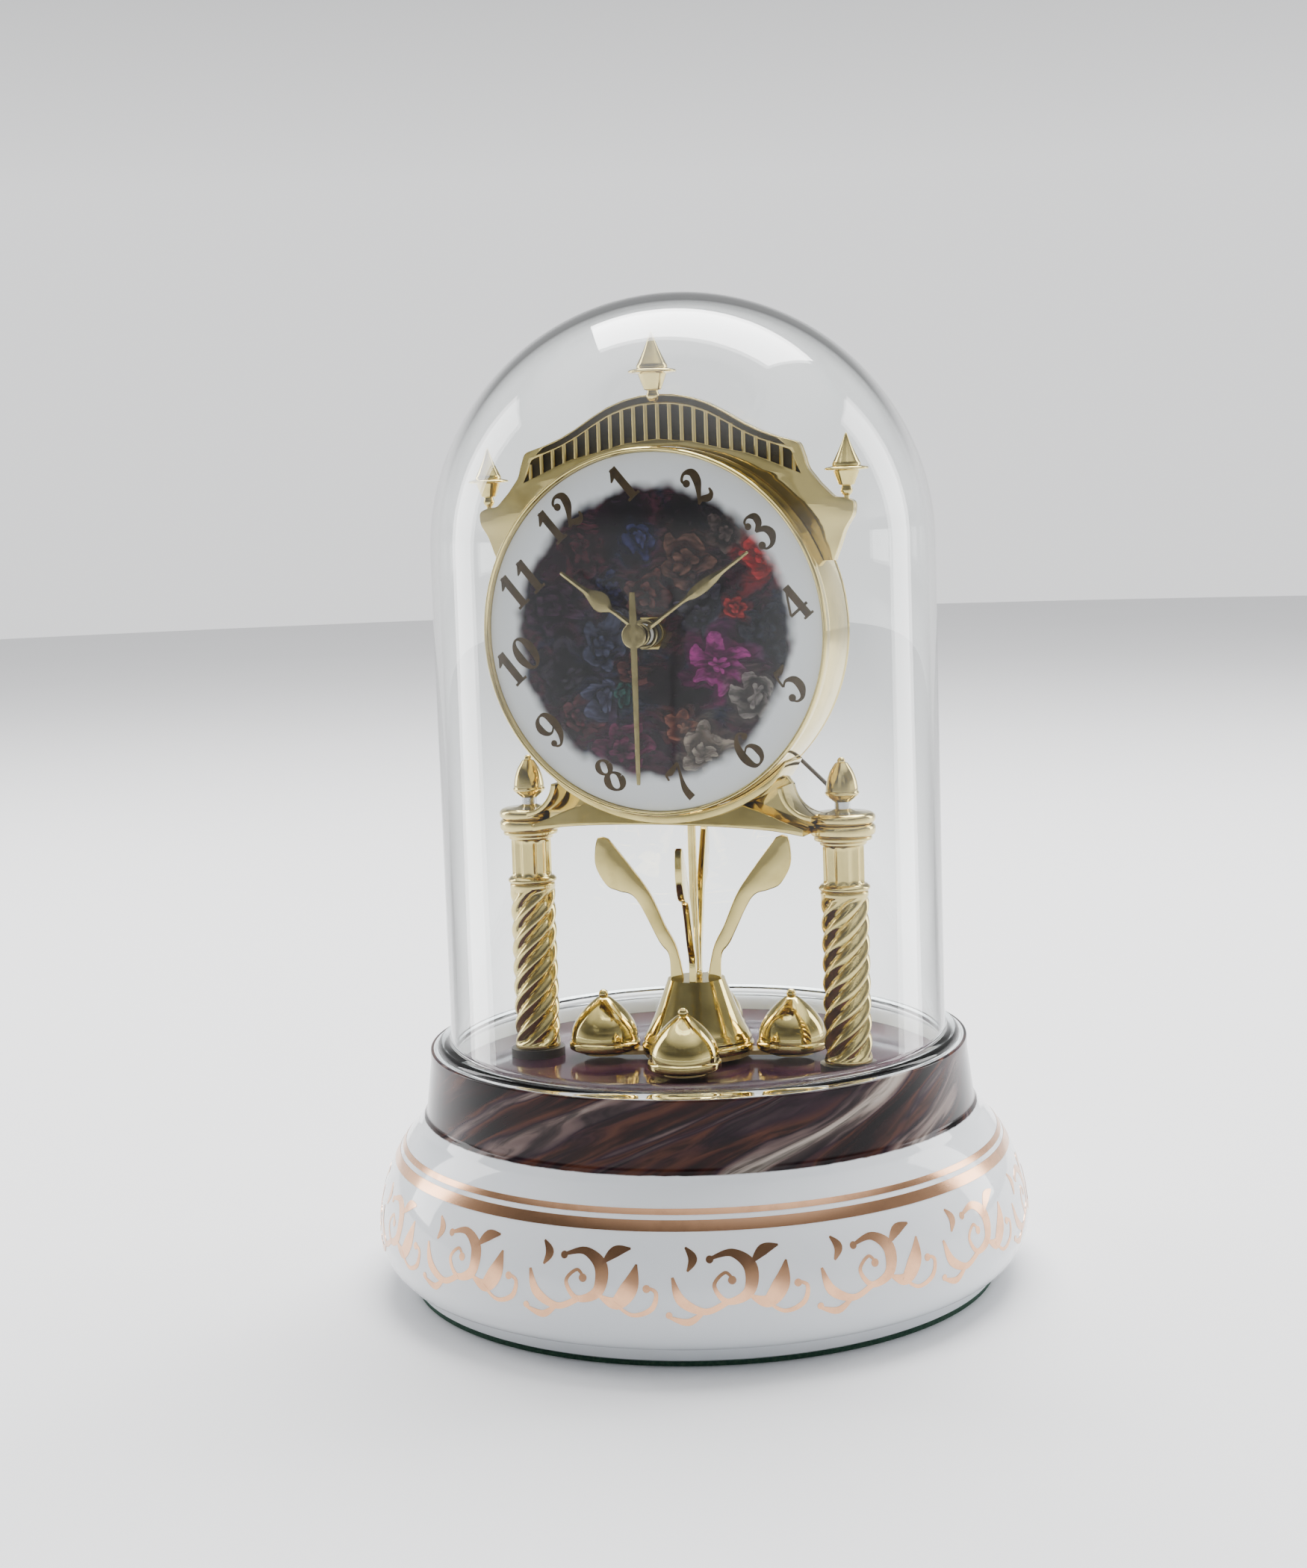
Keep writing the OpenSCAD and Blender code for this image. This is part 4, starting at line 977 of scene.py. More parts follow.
def ring_tree() -> NodeSheet:
    """Tree that repeats its motif evenly round the upright axis."""
    sheet = NodeSheet("ring_of_motifs")
    motif = sheet.input("Motif", "Geometry")
    count, material = sheet.input("Count", "Int"), sheet.input("Material", "Material")
    points = sheet.add("GeometryNodePoints", {"Count": count}).outputs[0]
    index = sheet.add("GeometryNodeInputIndex").outputs[0]
    angle = sheet.math("DIVIDE", sheet.math("MULTIPLY", index, 2 * math.pi), count)
    turn = sheet.add("ShaderNodeCombineXYZ", {"Z": angle}).outputs[0]
    copies = sheet.add("GeometryNodeInstanceOnPoints",
                       {"Points": points, "Instance": motif, "Rotation": turn})
    sheet.close(copies.outputs[0], material)
    return sheet


def rib_tree() -> NodeSheet:
    """Tree that stands a rib on each vertex, as tall as the vertex's tall attribute."""
    sheet = NodeSheet("gallery_ribs")
    spots = sheet.input("Spots", "Geometry")
    width, depth = sheet.input("Width"), sheet.input("Depth")
    material = sheet.input("Material", "Material")
    rib = sheet.add("GeometryNodeMeshCylinder", {"Vertices": 12, "Radius": 0.5, "Depth": 1.0,
                                                 "Side Segments": 2}).outputs[0]
    tall = sheet.add("GeometryNodeInputNamedAttribute", {"Name": "tall"}, data_type="FLOAT").outputs[0]
    size = sheet.add("ShaderNodeCombineXYZ", {"X": width, "Y": depth, "Z": tall}).outputs[0]
    points = sheet.add("GeometryNodeMeshToPoints", {"Mesh": spots}).outputs[0]
    copies = sheet.add("GeometryNodeInstanceOnPoints", {"Points": points, "Instance": rib, "Scale": size})
    sheet.close(copies.outputs[0], material)
    return sheet


LOBED = lobed_shaft_tree()
RING = ring_tree()
RIBS = rib_tree()


# ---- sub-assemblies ----
@dataclass
class PorcelainBase:
    """The glazed base with its gilding."""
    box: NodeBox = field(default_factory=lambda: NodeBox.of("porcelain_base"))
    foot_r: float = 69.0
    foot_in_r: float = 65.0
    bulge_z: float = 13.7
    arc_r: float = 35.0
    foot_arc_h: float = 9.7
    neck_foot: Point2 = (65.0, 40.6)
    neck_r: float = 63.0
    wall: float = 4.4
    lip_r: float = 61.8
    recess_r: float = 57.6
    shelf: Point2 = (52.0, 49.0)
    thin_band: Point2 = (33.55, 34.65)
    thick_band: Point2 = (30.5, 32.6)
    motifs: int = 15
    gilt_t: float = 0.06
    gilt_weight: float = 1.4

    @property
    def bulge_r(self) -> float:
        """Greatest radius of the glazed bulge, with room left for the gilding on it."""
        return self.box.high.x - 2 * self.gilt_t

    @property
    def arc_at(self) -> Point2:
        """Centre of the shoulder's arc."""
        return self.bulge_r - self.arc_r, self.bulge_z

    def shoulder(self, z: float, out: float = 0.0) -> float:
        """Radius of the glazed shoulder at a height, moved outwards by out."""
        drop = z - self.bulge_z
        return self.arc_at[0] + math.sqrt((self.arc_r + out) ** 2 - drop ** 2)

    def outline(self) -> list[Point2]:
        """Section of the base, outside first."""
        rim, top = self.box.high.z - 1.0, self.box.high.z
        foot = self.box.low.z
        bulge = self.bulge_r
        outside = [(self.foot_r - 0.6, foot), (self.foot_r, foot + 0.4)]
        outside += oval((self.foot_r, self.bulge_z), bulge - self.foot_r, self.foot_arc_h, -88, 0, 24)
        outside += arc(self.arc_at, self.arc_r, 2, 46, 32)
        outside += arc((self.neck_foot[0] + 0.6, self.neck_foot[1] + 1.2), 1.2, 235, 180, 6)
        lip = softened([(self.neck_r, rim - 2), (self.neck_r, top), (self.lip_r, top), (self.lip_r, rim),
                        (self.recess_r, rim), (self.recess_r, self.shelf[1]), (self.shelf[0], self.shelf[1]),
                        (self.shelf[0], 45.0), (self.neck_r - self.wall, 45.0)], 0.35, closed=False)
        inside = arc(self.arc_at, self.arc_r - self.wall, 50, 0, 24)
        inside += oval((self.foot_in_r, self.bulge_z), bulge - self.wall - self.foot_in_r,
                       self.foot_arc_h - 1.6, 0, -88, 12)
        return outside + lip + inside + [(self.foot_in_r, foot + 0.4), (self.foot_in_r + 0.4, foot)]

    def band(self, name: str, low: float, high: float) -> bpy.types.Object:
        """A gilt band that lies on the shoulder between two heights."""
        levels = [low + (high - low) * k / 8 for k in range(9)]
        skin = [(self.shoulder(z, self.gilt_t), z) for z in levels]
        under = [(self.shoulder(z, -self.gilt_t), z) for z in reversed(levels)]
        return turned(name, skin + under, 256)

    def scroll(self) -> bpy.types.Mesh:
        """One foliate scroll of the gilding, laid on the front of the bulge."""
        swirl = Stroke(((-2.2, 12.6, 0.5), (2.4, 13.6, 1.2), (6.2, 10.6, 2.1), (5.6, 5.4, 1.7),
                        (1.0, 3.6, 0.9), (-1.6, 7.0, 0.6), (0.8, 9.6, 0.5), (2.6, 7.8, 0.4)),
                       ((2.2, 8.0, 0.75), (-2.4, 12.4, 0.7)))
        leaf = Stroke(((5.8, 4.6, 0.4), (9.6, 3.2, 2.0), (12.6, 6.6, 2.6), (14.0, 11.4, 0.3)))
        bract = Stroke(((6.4, 11.2, 0.3), (9.2, 13.8, 1.7), (12.6, 14.6, 0.3)))
        tendril = Stroke(((9.0, 3.4, 0.4), (13.0, 0.8, 0.6), (17.2, 2.2, 0.8), (18.2, 5.6, 0.6),
                          (15.8, 6.8, 0.4)), ((16.2, 6.4, 0.7),))
        stem = Stroke(((1.2, 3.6, 0.9), (-3.6, 1.6, 1.0), (-8.6, 4.0, 1.5), (-10.4, 8.8, 0.4)))
        curl = Stroke(((-3.8, 1.7, 0.5), (-7.2, -0.6, 1.1), (-11.4, 0.6, 0.4)), ((-11.2, 0.9, 0.6),))
        sprig = Stroke(((-7.2, 10.0, 0.3), (-6.0, 12.6, 1.4), (-7.6, 15.0, 0.3)))

        def lay(u: float, v: float, up: float) -> Point3:
            """A place on the bulge for a point of the motif."""
            angle = v / self.arc_r - 0.02
            radius = self.arc_at[0] + (self.arc_r + up) * math.cos(angle)
            height = self.arc_at[1] + (self.arc_r + up) * math.sin(angle)
            around = u / self.bulge_r
            return radius * math.sin(around), -radius * math.cos(around), height

        points, faces = inked((swirl, leaf, bract, tendril, stem, curl, sprig), lay, self.gilt_t,
                              weight=self.gilt_weight)
        motif = bpy.data.meshes.new("scroll")
        motif.from_pydata([(x * MM, y * MM, z * MM) for x, y, z in points], [], faces)
        return motif

    def build(self) -> None:
        """Make the porcelain, its bands and its scrolls."""
        body = turned("porcelain_body", self.outline(), 256)
        settle(body, PORCELAIN, Body.CLOCK, Slot.PORCELAIN, "porcelain_base")
        for name, (low, high) in (("gilt_band_thin", self.thin_band), ("gilt_band_thick", self.thick_band)):
            settle(self.band(name, low, high), GILT, Body.CLOCK, Slot.BRASS)
        scrolls = RING.grow("gilt_scrolls", {"Count": self.motifs, "Material": GILT.build()}, self.scroll())
        settle(scrolls, GILT, Body.CLOCK, Slot.BRASS)


@dataclass
class Column:
    """One twisted column with its capital and acorn nut.

    Attributes:
        side: -1 for the left column, 1 for the right one.
    """
    side: int
    strands: int = 6
    lead_turns: float = 1.37
    groove: float = 1.15
    neck_r: float = 4.7
    flutes: int = 12
    disc_r: float = 7.3

    @property
    def name(self) -> str:
        """Side as a word."""
        return "left" if self.side < 0 else "right"

    @property
    def at(self) -> Point2:
        """Place of the column's axis."""
        middle = NodeBox.of(f"column_shaft_{self.name}").centre
        return middle.x, middle.y

    def shaft(self) -> bpy.types.Object:
        """The rope-twisted shaft with its plain end rings."""
        box = NodeBox.of(f"column_shaft_{self.name}")
        radius = (box.high.x - box.low.x) / 2
        height = box.high.z - box.low.z
        twist = LOBED.grow("twist", {
            "Radius": radius * MM, "Depth": self.groove * MM, "Lobes": float(self.strands),
            "Turns": self.lead_turns, "Hollow": 0.0, "Fade": 1.2 * MM, "Height": (height - 2.2) * MM,
            "Foot": (box.low.z + 1.1) * MM, "Across": self.at[0] * MM, "Back": self.at[1] * MM,
            "Around": 128, "Along": 150, "Material": BRASS.build()}, None, 50)
        rings = [turned("end_ring", softened([
            (0, z), (radius + 0.02, z), (radius + 0.02, z + 1.3), (0, z + 1.3)], 0.4), 96, at=self.at)
            for z in (box.low.z, box.high.z - 1.3)]
        return joined(f"twisted_shaft_{self.name}", [twist, *rings])

    def capital(self) -> bpy.types.Object:
        """Collar, fluted neck and spreading flange."""
        box = NodeBox.of(f"capital_{self.name}")
        low, top = box.low.z, box.high.z
        collar = turned("collar", softened([
            (0, low), (5.3, low), (5.8, low + 0.5), (5.8, low + 1.0), (5.1, low + 1.7), (0, low + 1.7)], 0.3),
            96, at=self.at)
        flange = turned("flange", softened([
            (0, top - 2.3), (self.neck_r, top - 2.3), (5.3, top - 1.8), (5.3, top - 1.3), (6.5, top - 0.9),
            (6.5, top - 0.2), (6.2, top), (0, top)], 0.25), 96, at=self.at)
        neck = LOBED.grow("neck", {
            "Radius": self.neck_r * MM, "Depth": 0.55 * MM, "Lobes": float(self.flutes), "Turns": 0.0,
            "Hollow": 1.0, "Fade": 0.8 * MM, "Height": (top - low - 3.2) * MM, "Foot": (low + 1.4) * MM,
            "Across": self.at[0] * MM, "Back": self.at[1] * MM, "Around": 144, "Along": 24,
            "Material": BRASS.build()}, None, 40)
        return joined(f"fluted_capital_{self.name}", [collar, neck, flange])

    def acorn(self) -> bpy.types.Object:
        """Acorn nut with its washer disc."""
        foot = NodeBox.of("acorn_nuts").low.z
        disc = softened([(0, foot), (self.disc_r - 0.8, foot), (self.disc_r, foot + 0.6),
                         (self.disc_r, foot + 1.9), (self.disc_r - 0.9, foot + 2.6), (3.0, foot + 2.8)],
                        0.8, closed=False, steps=6)
        neck = flowing([(3.0, foot + 2.8), (1.9, foot + 3.3), (1.5, foot + 4.0), (1.6, foot + 4.8)], 5)
        cup = softened([(1.6, foot + 4.8), (3.1, foot + 5.9), (3.75, foot + 6.6), (3.9, foot + 7.0),
                        (3.65, foot + 7.3)], 0.3, closed=False)
        ogive = flowing([(3.62, foot + 7.4), (3.55, foot + 8.4), (3.2, foot + 10.2), (2.5, foot + 12.0),
                         (1.4, foot + 13.7)], 6)
        nub = arc((0, foot + 14.05), 0.95, -35, 90, 8)
        return turned(f"acorn_nut_{self.name}", disc + neck[1:] + cup[1:] + ogive + nub, 96, at=self.at,
                      sharp=40)

    def build(self) -> None:
        """Make the column's pieces."""
        settle(self.shaft(), BRASS, Body.CLOCK, Slot.BRASS, f"column_shaft_{self.name}")
        settle(self.capital(), BRASS, Body.CLOCK, Slot.BRASS, f"capital_{self.name}")
        settle(self.acorn(), BRASS, Body.CLOCK, Slot.BRASS, "acorn_nuts")


@dataclass
class DialBracket:
    """Cradle, rail and web that carry the drum between the columns."""
    front: float = -17.0
    rear: float = -7.0
    cradle_t: float = 2.1
    cradle_end: float = 45.0
    scoop_r: float = 7.4
    scoop_at: Point2 = (35.6, 118.4)
    slope: float = 0.04
    eye: Point2 = (105.6, 108.3)
    eye_r: float = 7.3

    def drum_arc(self, radius: float, start: float, end: float, steps: int = 60) -> list[Point2]:
        """Part of a circle about the dial's axis."""
        return arc((0, DIAL_Z), radius, start, end, steps)

    def rail(self) -> bpy.types.Object:
        """The rail, whose face leans back very slightly as it rises."""
        drum = DRUM_R + 0.05
        foot = [(33, 106.6), (25, 107.8), (12, 108.5), (0, 108.7)]
        brow = [(33, 108.2), (28.3, 110), (23.6, 111.9), (19.5, 113.3), (16.4, 114.2)]
        side = math.degrees(math.atan2(114.2 - DIAL_Z, 16.4))
        low = [(p[0], p[1]) for p in flowing(foot, 6)]
        high = [(p[0], p[1]) for p in flowing(brow, 6)]
        under = [(-x, z) for x, z in low[:-1]] + low[::-1]
        over = self.drum_arc(drum, side, -180 - side)[1:-1]
        outline = under + high + over + [(-x, z) for x, z in high[::-1]]
        rail = plate("rail", [outline], self.front, self.rear - self.front, 0.25)
        for vertex in rail.data.vertices:
            if vertex.co.y < (self.front + 2) * MM:
                lift = max(0.0, vertex.co.z - 107.0 * MM)
                vertex.co.y += min(lift * self.slope, 4.0 * MM)
        return rail

    def web(self) -> bpy.types.Object:
        """The dark recessed web behind the rail."""
        drum = DRUM_R + 0.05
        scoop = arc(self.scoop_at, self.scoop_r, 270, 188, 16)
        half = [(0, 108.8), (33, 107.2), (35.6, 108.3), *scoop, (26, 120.4)]
        turn = math.degrees(math.atan2(120.4 - DIAL_Z, 26))
        outline = [(-x, z) for x, z in half[::-1]] + half[1:] + self.drum_arc(drum, turn, -180 - turn)[1:-1]
        return plate("web", [outline], self.rear - 2, 2, 0.2)

    def flank(self, side: int) -> bpy.types.Object:
        """The curved wall along one scooped edge."""
        inner = arc(self.scoop_at, self.scoop_r, 264, 186, 24)
        outer = arc(self.scoop_at, self.scoop_r + 1.2, 186, 264, 24)
        outline = [(side * x, z) for x, z in inner + outer]
        return plate("flank", [outline], self.front + 0.6, self.rear - self.front - 0.6, 0.25)

    def cradle(self) -> bpy.types.Object:
        """The lip under the drum, thinning to its two tips."""
        points: list[Point3] = []
        faces: list[list[int]] = []
        count = 72
        for i in range(count + 1):
            turn = -self.cradle_end + 2 * self.cradle_end * i / count
            ease = min(1.0, (self.cradle_end - abs(turn)) / 11)
            thick = 0.35 + (self.cradle_t - 0.35) * math.sin(ease * math.pi / 2)
            a = math.radians(turn - 90)
            inner = DRUM_R + 0.06
            front = self.front + 0.3 - 0.6 * ease
            section = softened([(inner, front), (inner + thick, front), (inner + thick, self.rear + 2),
                                (inner, self.rear + 2)], 0.3, steps=3)
            points += [(r * math.cos(a), y, DIAL_Z + r * math.sin(a)) for r, y in section]
        size = len(points) // (count + 1)
        for i in range(count):
            for k in range(size):
                n = (k + 1) % size
                faces.append([i * size + k, i * size + n, (i + 1) * size + n, (i + 1) * size + k])
        faces += [list(range(size)), list(range(count * size + size - 1, count * size - 1, -1))]
        return from_points("cradle", points, faces)

    def build(self) -> None:
        """Make the bracket as one casting."""
        low, high = self.eye
        eyes = []
        for name in ("left", "right"):
            middle = NodeBox.of(f"column_shaft_{name}").centre
            rim = softened([(0, low), (self.eye_r, low), (self.eye_r, high), (0, high)], 1.1, steps=8)
            eyes.append(turned("eye", rim, 96, at=(middle.x, middle.y)))
        parts = [self.rail(), self.web(), self.flank(-1), self.flank(1), self.cradle(), *eyes]
        settle(joined("bracket_casting", parts), BRASS, Body.CLOCK, Slot.BRASS, "dial_bracket")


@dataclass
class DialCase:
    """Drum, bezel, dial and numerals."""
    bezel: NodeBox = field(default_factory=lambda: NodeBox.of("bezel"))
    dial: NodeBox = field(default_factory=lambda: NodeBox.of("dial_plate"))
    wall: float = 1.6
    face_r: float = 40.1
    numeral_r: float = 34.0
    numeral_h: float = 8.4
    ink_weight: float = 1.3
    digit_step: float = 0.64
    turn: float = -40.2
    hole_r: float = 3.0

    def drum(self) -> bpy.types.Object:
        """The turned drum with two fine beads near its edges."""
        front, rear = DRUM.low.y, DRUM.high.y
        bead = arc((DRUM_R - 0.25, rear - 1.4), 0.25, -90, 90, 6)
        outline = [(DRUM_R - self.wall, front), (DRUM_R - 0.05, front), (DRUM_R - 0.05, rear - 2.2),
                   (DRUM_R - 0.45, rear - 1.9), *bead, (DRUM_R - 0.45, rear - 0.9),
                   (DRUM_R - 0.05, rear - 0.6), (DRUM_R - 0.4, rear), (26, rear), (26, rear - 1.2),
                   (DRUM_R - self.wall, rear - 1.2)]
        return turned("drum_shell", softened(outline, 0.2, steps=3), 256, Turn.DIAL)

    def rim(self) -> bpy.types.Object:
        """The bezel: a fine bright lip that stands just outside the dial's face."""
        front, rear = self.bezel.low.y, self.bezel.high.y
        dial = self.dial.low.y
        back, inner = dial + 0.85, self.face_r + 0.05
        outline = [(inner, dial + 0.6), (inner, front + 0.5), (inner + 0.25, front + 0.1),
                   (inner + 0.45, front), (DRUM_R - 0.3, front), (DRUM_R, front + 0.45), (DRUM_R, back),
                   (DRUM_R - 1.65, back), (DRUM_R - 1.65, rear), (DRUM_R - 2.0, rear),
                   (DRUM_R - 2.0, dial + 0.6)]
        return turned("bezel_ring", softened(outline, 0.12, steps=4), 256, Turn.DIAL, sharp=24)

    def disc(self) -> bpy.types.Object:
        """The glazed dial disc."""
        front, rear, radius = self.dial.low.y, self.dial.high.y, self.dial.high.x
        outline = [(self.hole_r, front), (radius * 0.5, front), (self.face_r, front),
                   (self.face_r, front + 0.5), (radius - 0.05, front + 0.55), (radius - 0.05, rear),
                   (self.hole_r, rear)]
        return turned("dial_disc", softened(outline, 0.2), 192, Turn.DIAL)

    def numerals(self) -> bpy.types.Object:
        """The twelve numerals, all upright in the dial's own frame, which is turned as a whole."""
        lean = math.radians(self.turn)
        front = self.dial.low.y
        points: list[Point3] = []
        faces: list[list[int]] = []
        for hour in range(1, 13):
            where = math.radians(hour * 30 + self.turn)
            middle = (self.numeral_r * math.sin(where), self.numeral_r * math.cos(where))
            digits = str(hour)
            for place, digit in enumerate(digits):
                shift = (place - len(digits) / 2) * self.digit_step * self.numeral_h
                shift += 0.02 * self.numeral_h

                def lay(u: float, v: float, up: float, shift: float = shift,
                        middle: Point2 = middle) -> Point3:
                    """A place on the dial for a point of the digit."""
                    right, up_ward = u + shift, v - self.numeral_h / 2
                    x = middle[0] + right * math.cos(lean) + up_ward * math.sin(lean)
                    z = middle[1] - right * math.sin(lean) + up_ward * math.cos(lean)
                    return x, front - up, DIAL_Z + z

                new_points, new_faces = inked(DIGITS[digit], lay, 0.03, self.numeral_h,
                                                self.ink_weight)
                base = len(points)
                points += new_points
                faces += [[base + k for k in face] for face in new_faces]
        return from_points("numerals", points, faces)

    def build(self) -> None:
        """Make the case and the dial."""
        settle(self.drum(), BRASS, Body.CLOCK, Slot.BRASS, "dial_case")
        settle(self.rim(), BRASS, Body.CLOCK, Slot.BRASS, "bezel")
        settle(self.disc(), DIAL, Body.CLOCK, Slot.DIAL, "dial_plate")
        settle(self.numerals(), NUMERAL_GILT, Body.CLOCK, Slot.BRASS)


@dataclass
class Crown:
    """Pierced pediment on the drum, with its ribbed gallery and three finials."""
    box: NodeBox = field(default_factory=lambda: NodeBox.of("crown"))
    rib_pitch: float = 2.9
    rib_w: float = 1.15
    recess: float = 1.4

    def skyline(self) -> list[Point2]:
        """Upper edge of the crown, right half, from the middle outwards."""
        return [(0, 205.3), (4, 205.1), (8, 204.3), (12, 202.9), (16, 200.8), (20, 198.4), (24, 196.4),
                (28, 194.9), (33.1, 193.4), (34.3, 190), (34.9, 187.8), (37.6, 184.4), (40.8, 181.2),
                (43, 181.2), (45.4, 180.2), (45.2, 177.4), (43.2, 174.4), (41.9, 170.8), (40.6, 167.5)]

    def gallery_top(self) -> list[Point2]:
        """Upper edge of the recessed gallery, right half."""
        return [(0, 203.1), (4, 202.9), (8, 202.1), (12, 200.7), (16, 198.6), (20, 196.3), (24, 194.4),
                (28, 193), (31.4, 191.8), (32.6, 188.6), (33.6, 186.6)]

    def channel(self) -> list[Point2]:
        """Closed outline of the sunk channel in the moulding over the gallery."""
        reach = [(x, z) for x, z in self.gallery_top() if x <= 28]
        foot = flowing([(x, z + 0.38) for x, z in reach], 4)
        brow = flowing([(x * 1.01, z - 0.42) for x, z in self.skyline()[:len(reach)]], 4)
        half = [(p[0], p[1]) for p in brow] + [(30.2, 192.9)] + [(p[0], p[1]) for p in foot[::-1]]
        return half + [(-x, z) for x, z in half[::-1] if abs(x) > 1e-6]

    def gallery_foot(self) -> list[Point2]:
        """Lower edge of the recessed gallery, right half."""
        return [(0, 195.4), (8, 194.6), (15.3, 192.8), (21.4, 191.5), (25.2, 190.1), (29.9, 188.1),
                (33.6, 186.6)]

    @staticmethod
    def level(line: Sequence[Point2], x: float) -> float:
        """Height of a line at x."""
        for (x0, z0), (x1, z1) in zip(line, line[1:]):
            if x0 <= x <= x1:
                return z0 + (z1 - z0) * (x - x0) / (x1 - x0)
        return line[-1][1]

    def silhouette(self) -> list[Point2]:
        """Closed outline, cut by the drum."""
        drum = DRUM_R + 0.04
        foot_z = self.skyline()[-1][1]
        turn = math.degrees(math.asin((foot_z - DIAL_Z) / drum))
        right = softened(self.skyline(), 1.0, closed=False, steps=5)
        return ([(-x, z) for x, z in right[::-1] if x > 0] + right
                + arc((0, DIAL_Z), drum, turn, 180 - turn, 90))

    def opening(self) -> list[Point2]:
        """Closed outline of the gallery."""
        top, foot = self.gallery_top(), self.gallery_foot()
        half = softened(top, 0.8, closed=False) + softened(foot[::-1], 0.8, closed=False)[1:]
        return half + [(-x, z) for x, z in half[::-1] if abs(x) > 1e-6]

    def ribs(self) -> bpy.types.Object:
        """The upright ribs across the gallery."""
        reach = int(self.gallery_top()[-2][0] / self.rib_pitch)
        mesh = bpy.data.meshes.new("rib_spots")
        spots, heights = [], []
        for k in range(-reach, reach + 1):
            x = abs(k * self.rib_pitch)
            low, high = self.level(self.gallery_foot(), x) - 0.3, self.level(self.gallery_top(), x) + 0.3
            spots.append((k * self.rib_pitch * MM, (self.box.low.y + 0.75) * MM, (low + high) / 2 * MM))
            heights.append((high - low) * MM)
        mesh.from_pydata(spots, [], [])
        tall = mesh.attributes.new("tall", "FLOAT", "POINT")
        tall.data.foreach_set("value", heights)
        values = {"Width": self.rib_w * MM, "Depth": 1.3 * MM, "Material": BRASS.build()}
        return RIBS.grow("ribs", values, mesh)

    def finial(self, name: str, at: Point3, size: float) -> bpy.types.Object:
        """A turned finial on its spike.

        Args:
            name: The piece's name.
            at: Its foot, in millimetres.
            size: Scale.

        Returns:
            The finial.
        """
        x, y, foot = at
        stem = flowing([(0.0, 0.0), (0.8, 0.25), (1.35, 0.9), (1.5, 1.5), (1.25, 2.3)], 5)
        stem += softened([(1.2, 2.6), (1.95, 2.8), (2.1, 3.3), (2.7, 4.8), (3.2, 6.2)], 0.15, closed=False)
        brim = softened([(3.2, 6.2), (5.2, 6.45), (5.5, 6.75), (5.2, 7.1), (3.6, 7.45)], 0.2, closed=False)
        spire = [(3.5 * (1 - t) ** 1.2 + 0.28 * (t > 0), 7.5 + 7.9 * t) for t in (k / 16 for k in range(16))]
        outline = stem + brim[1:] + spire + [(0.2, 15.4), (0.0, 15.6)]
        return turned(name, [(r * size, foot + z * size) for r, z in outline], 72, at=(x, y), sharp=45)

    def build(self) -> None:
        """Make the crown and its finials."""
        front, rear = self.box.low.y, self.box.high.y
        back = plate("back", [self.silhouette()], front + self.recess, rear - front - self.recess, 0.2)
        face = plate("face", [self.silhouette(), self.opening(), self.channel()], front, self.recess + 0.1,
                     0.12)
        crown = joined("pediment", [back, face, self.ribs()])
        settle(crown, BRASS, Body.CLOCK, Slot.BRASS, "crown")
        # Dark plates in the gallery opening and the channel: painted shade that darkens these recesses.
        shades = [plate("gallery", [self.opening()], front + self.recess - 0.1, 0.2, 0.02),
                  plate("channel", [self.channel()], front + 0.5, self.recess - 0.4, 0.02)]
        settle(joined("gallery_painted_shade", shades), RECESS_SHADE_BRASS, Body.CLOCK, Slot.BRASS)
        top = NodeBox.of("top_finial")
        finial = self.finial("finial_top", (top.centre.x, front - 1.7, top.low.z), 1.0)
        settle(finial, BRASS, Body.CLOCK, Slot.BRASS, "top_finial")
        for side, name in ((-1, "left"), (1, "right")):
            box = NodeBox.of(f"side_finial_{name}")
            foot = box.low.z + 2.4
            spike = turned("spike", [(0, box.low.z), (0.6, box.low.z), (0.6, foot + 1), (0, foot + 1)], 24,
                           at=(box.centre.x, box.centre.y))
            finial = self.finial("finial", (box.centre.x, box.centre.y, foot), 0.88)
            settle(joined(f"finial_{name}", [finial, spike]), BRASS, Body.CLOCK, Slot.BRASS,
                   f"side_finial_{name}")


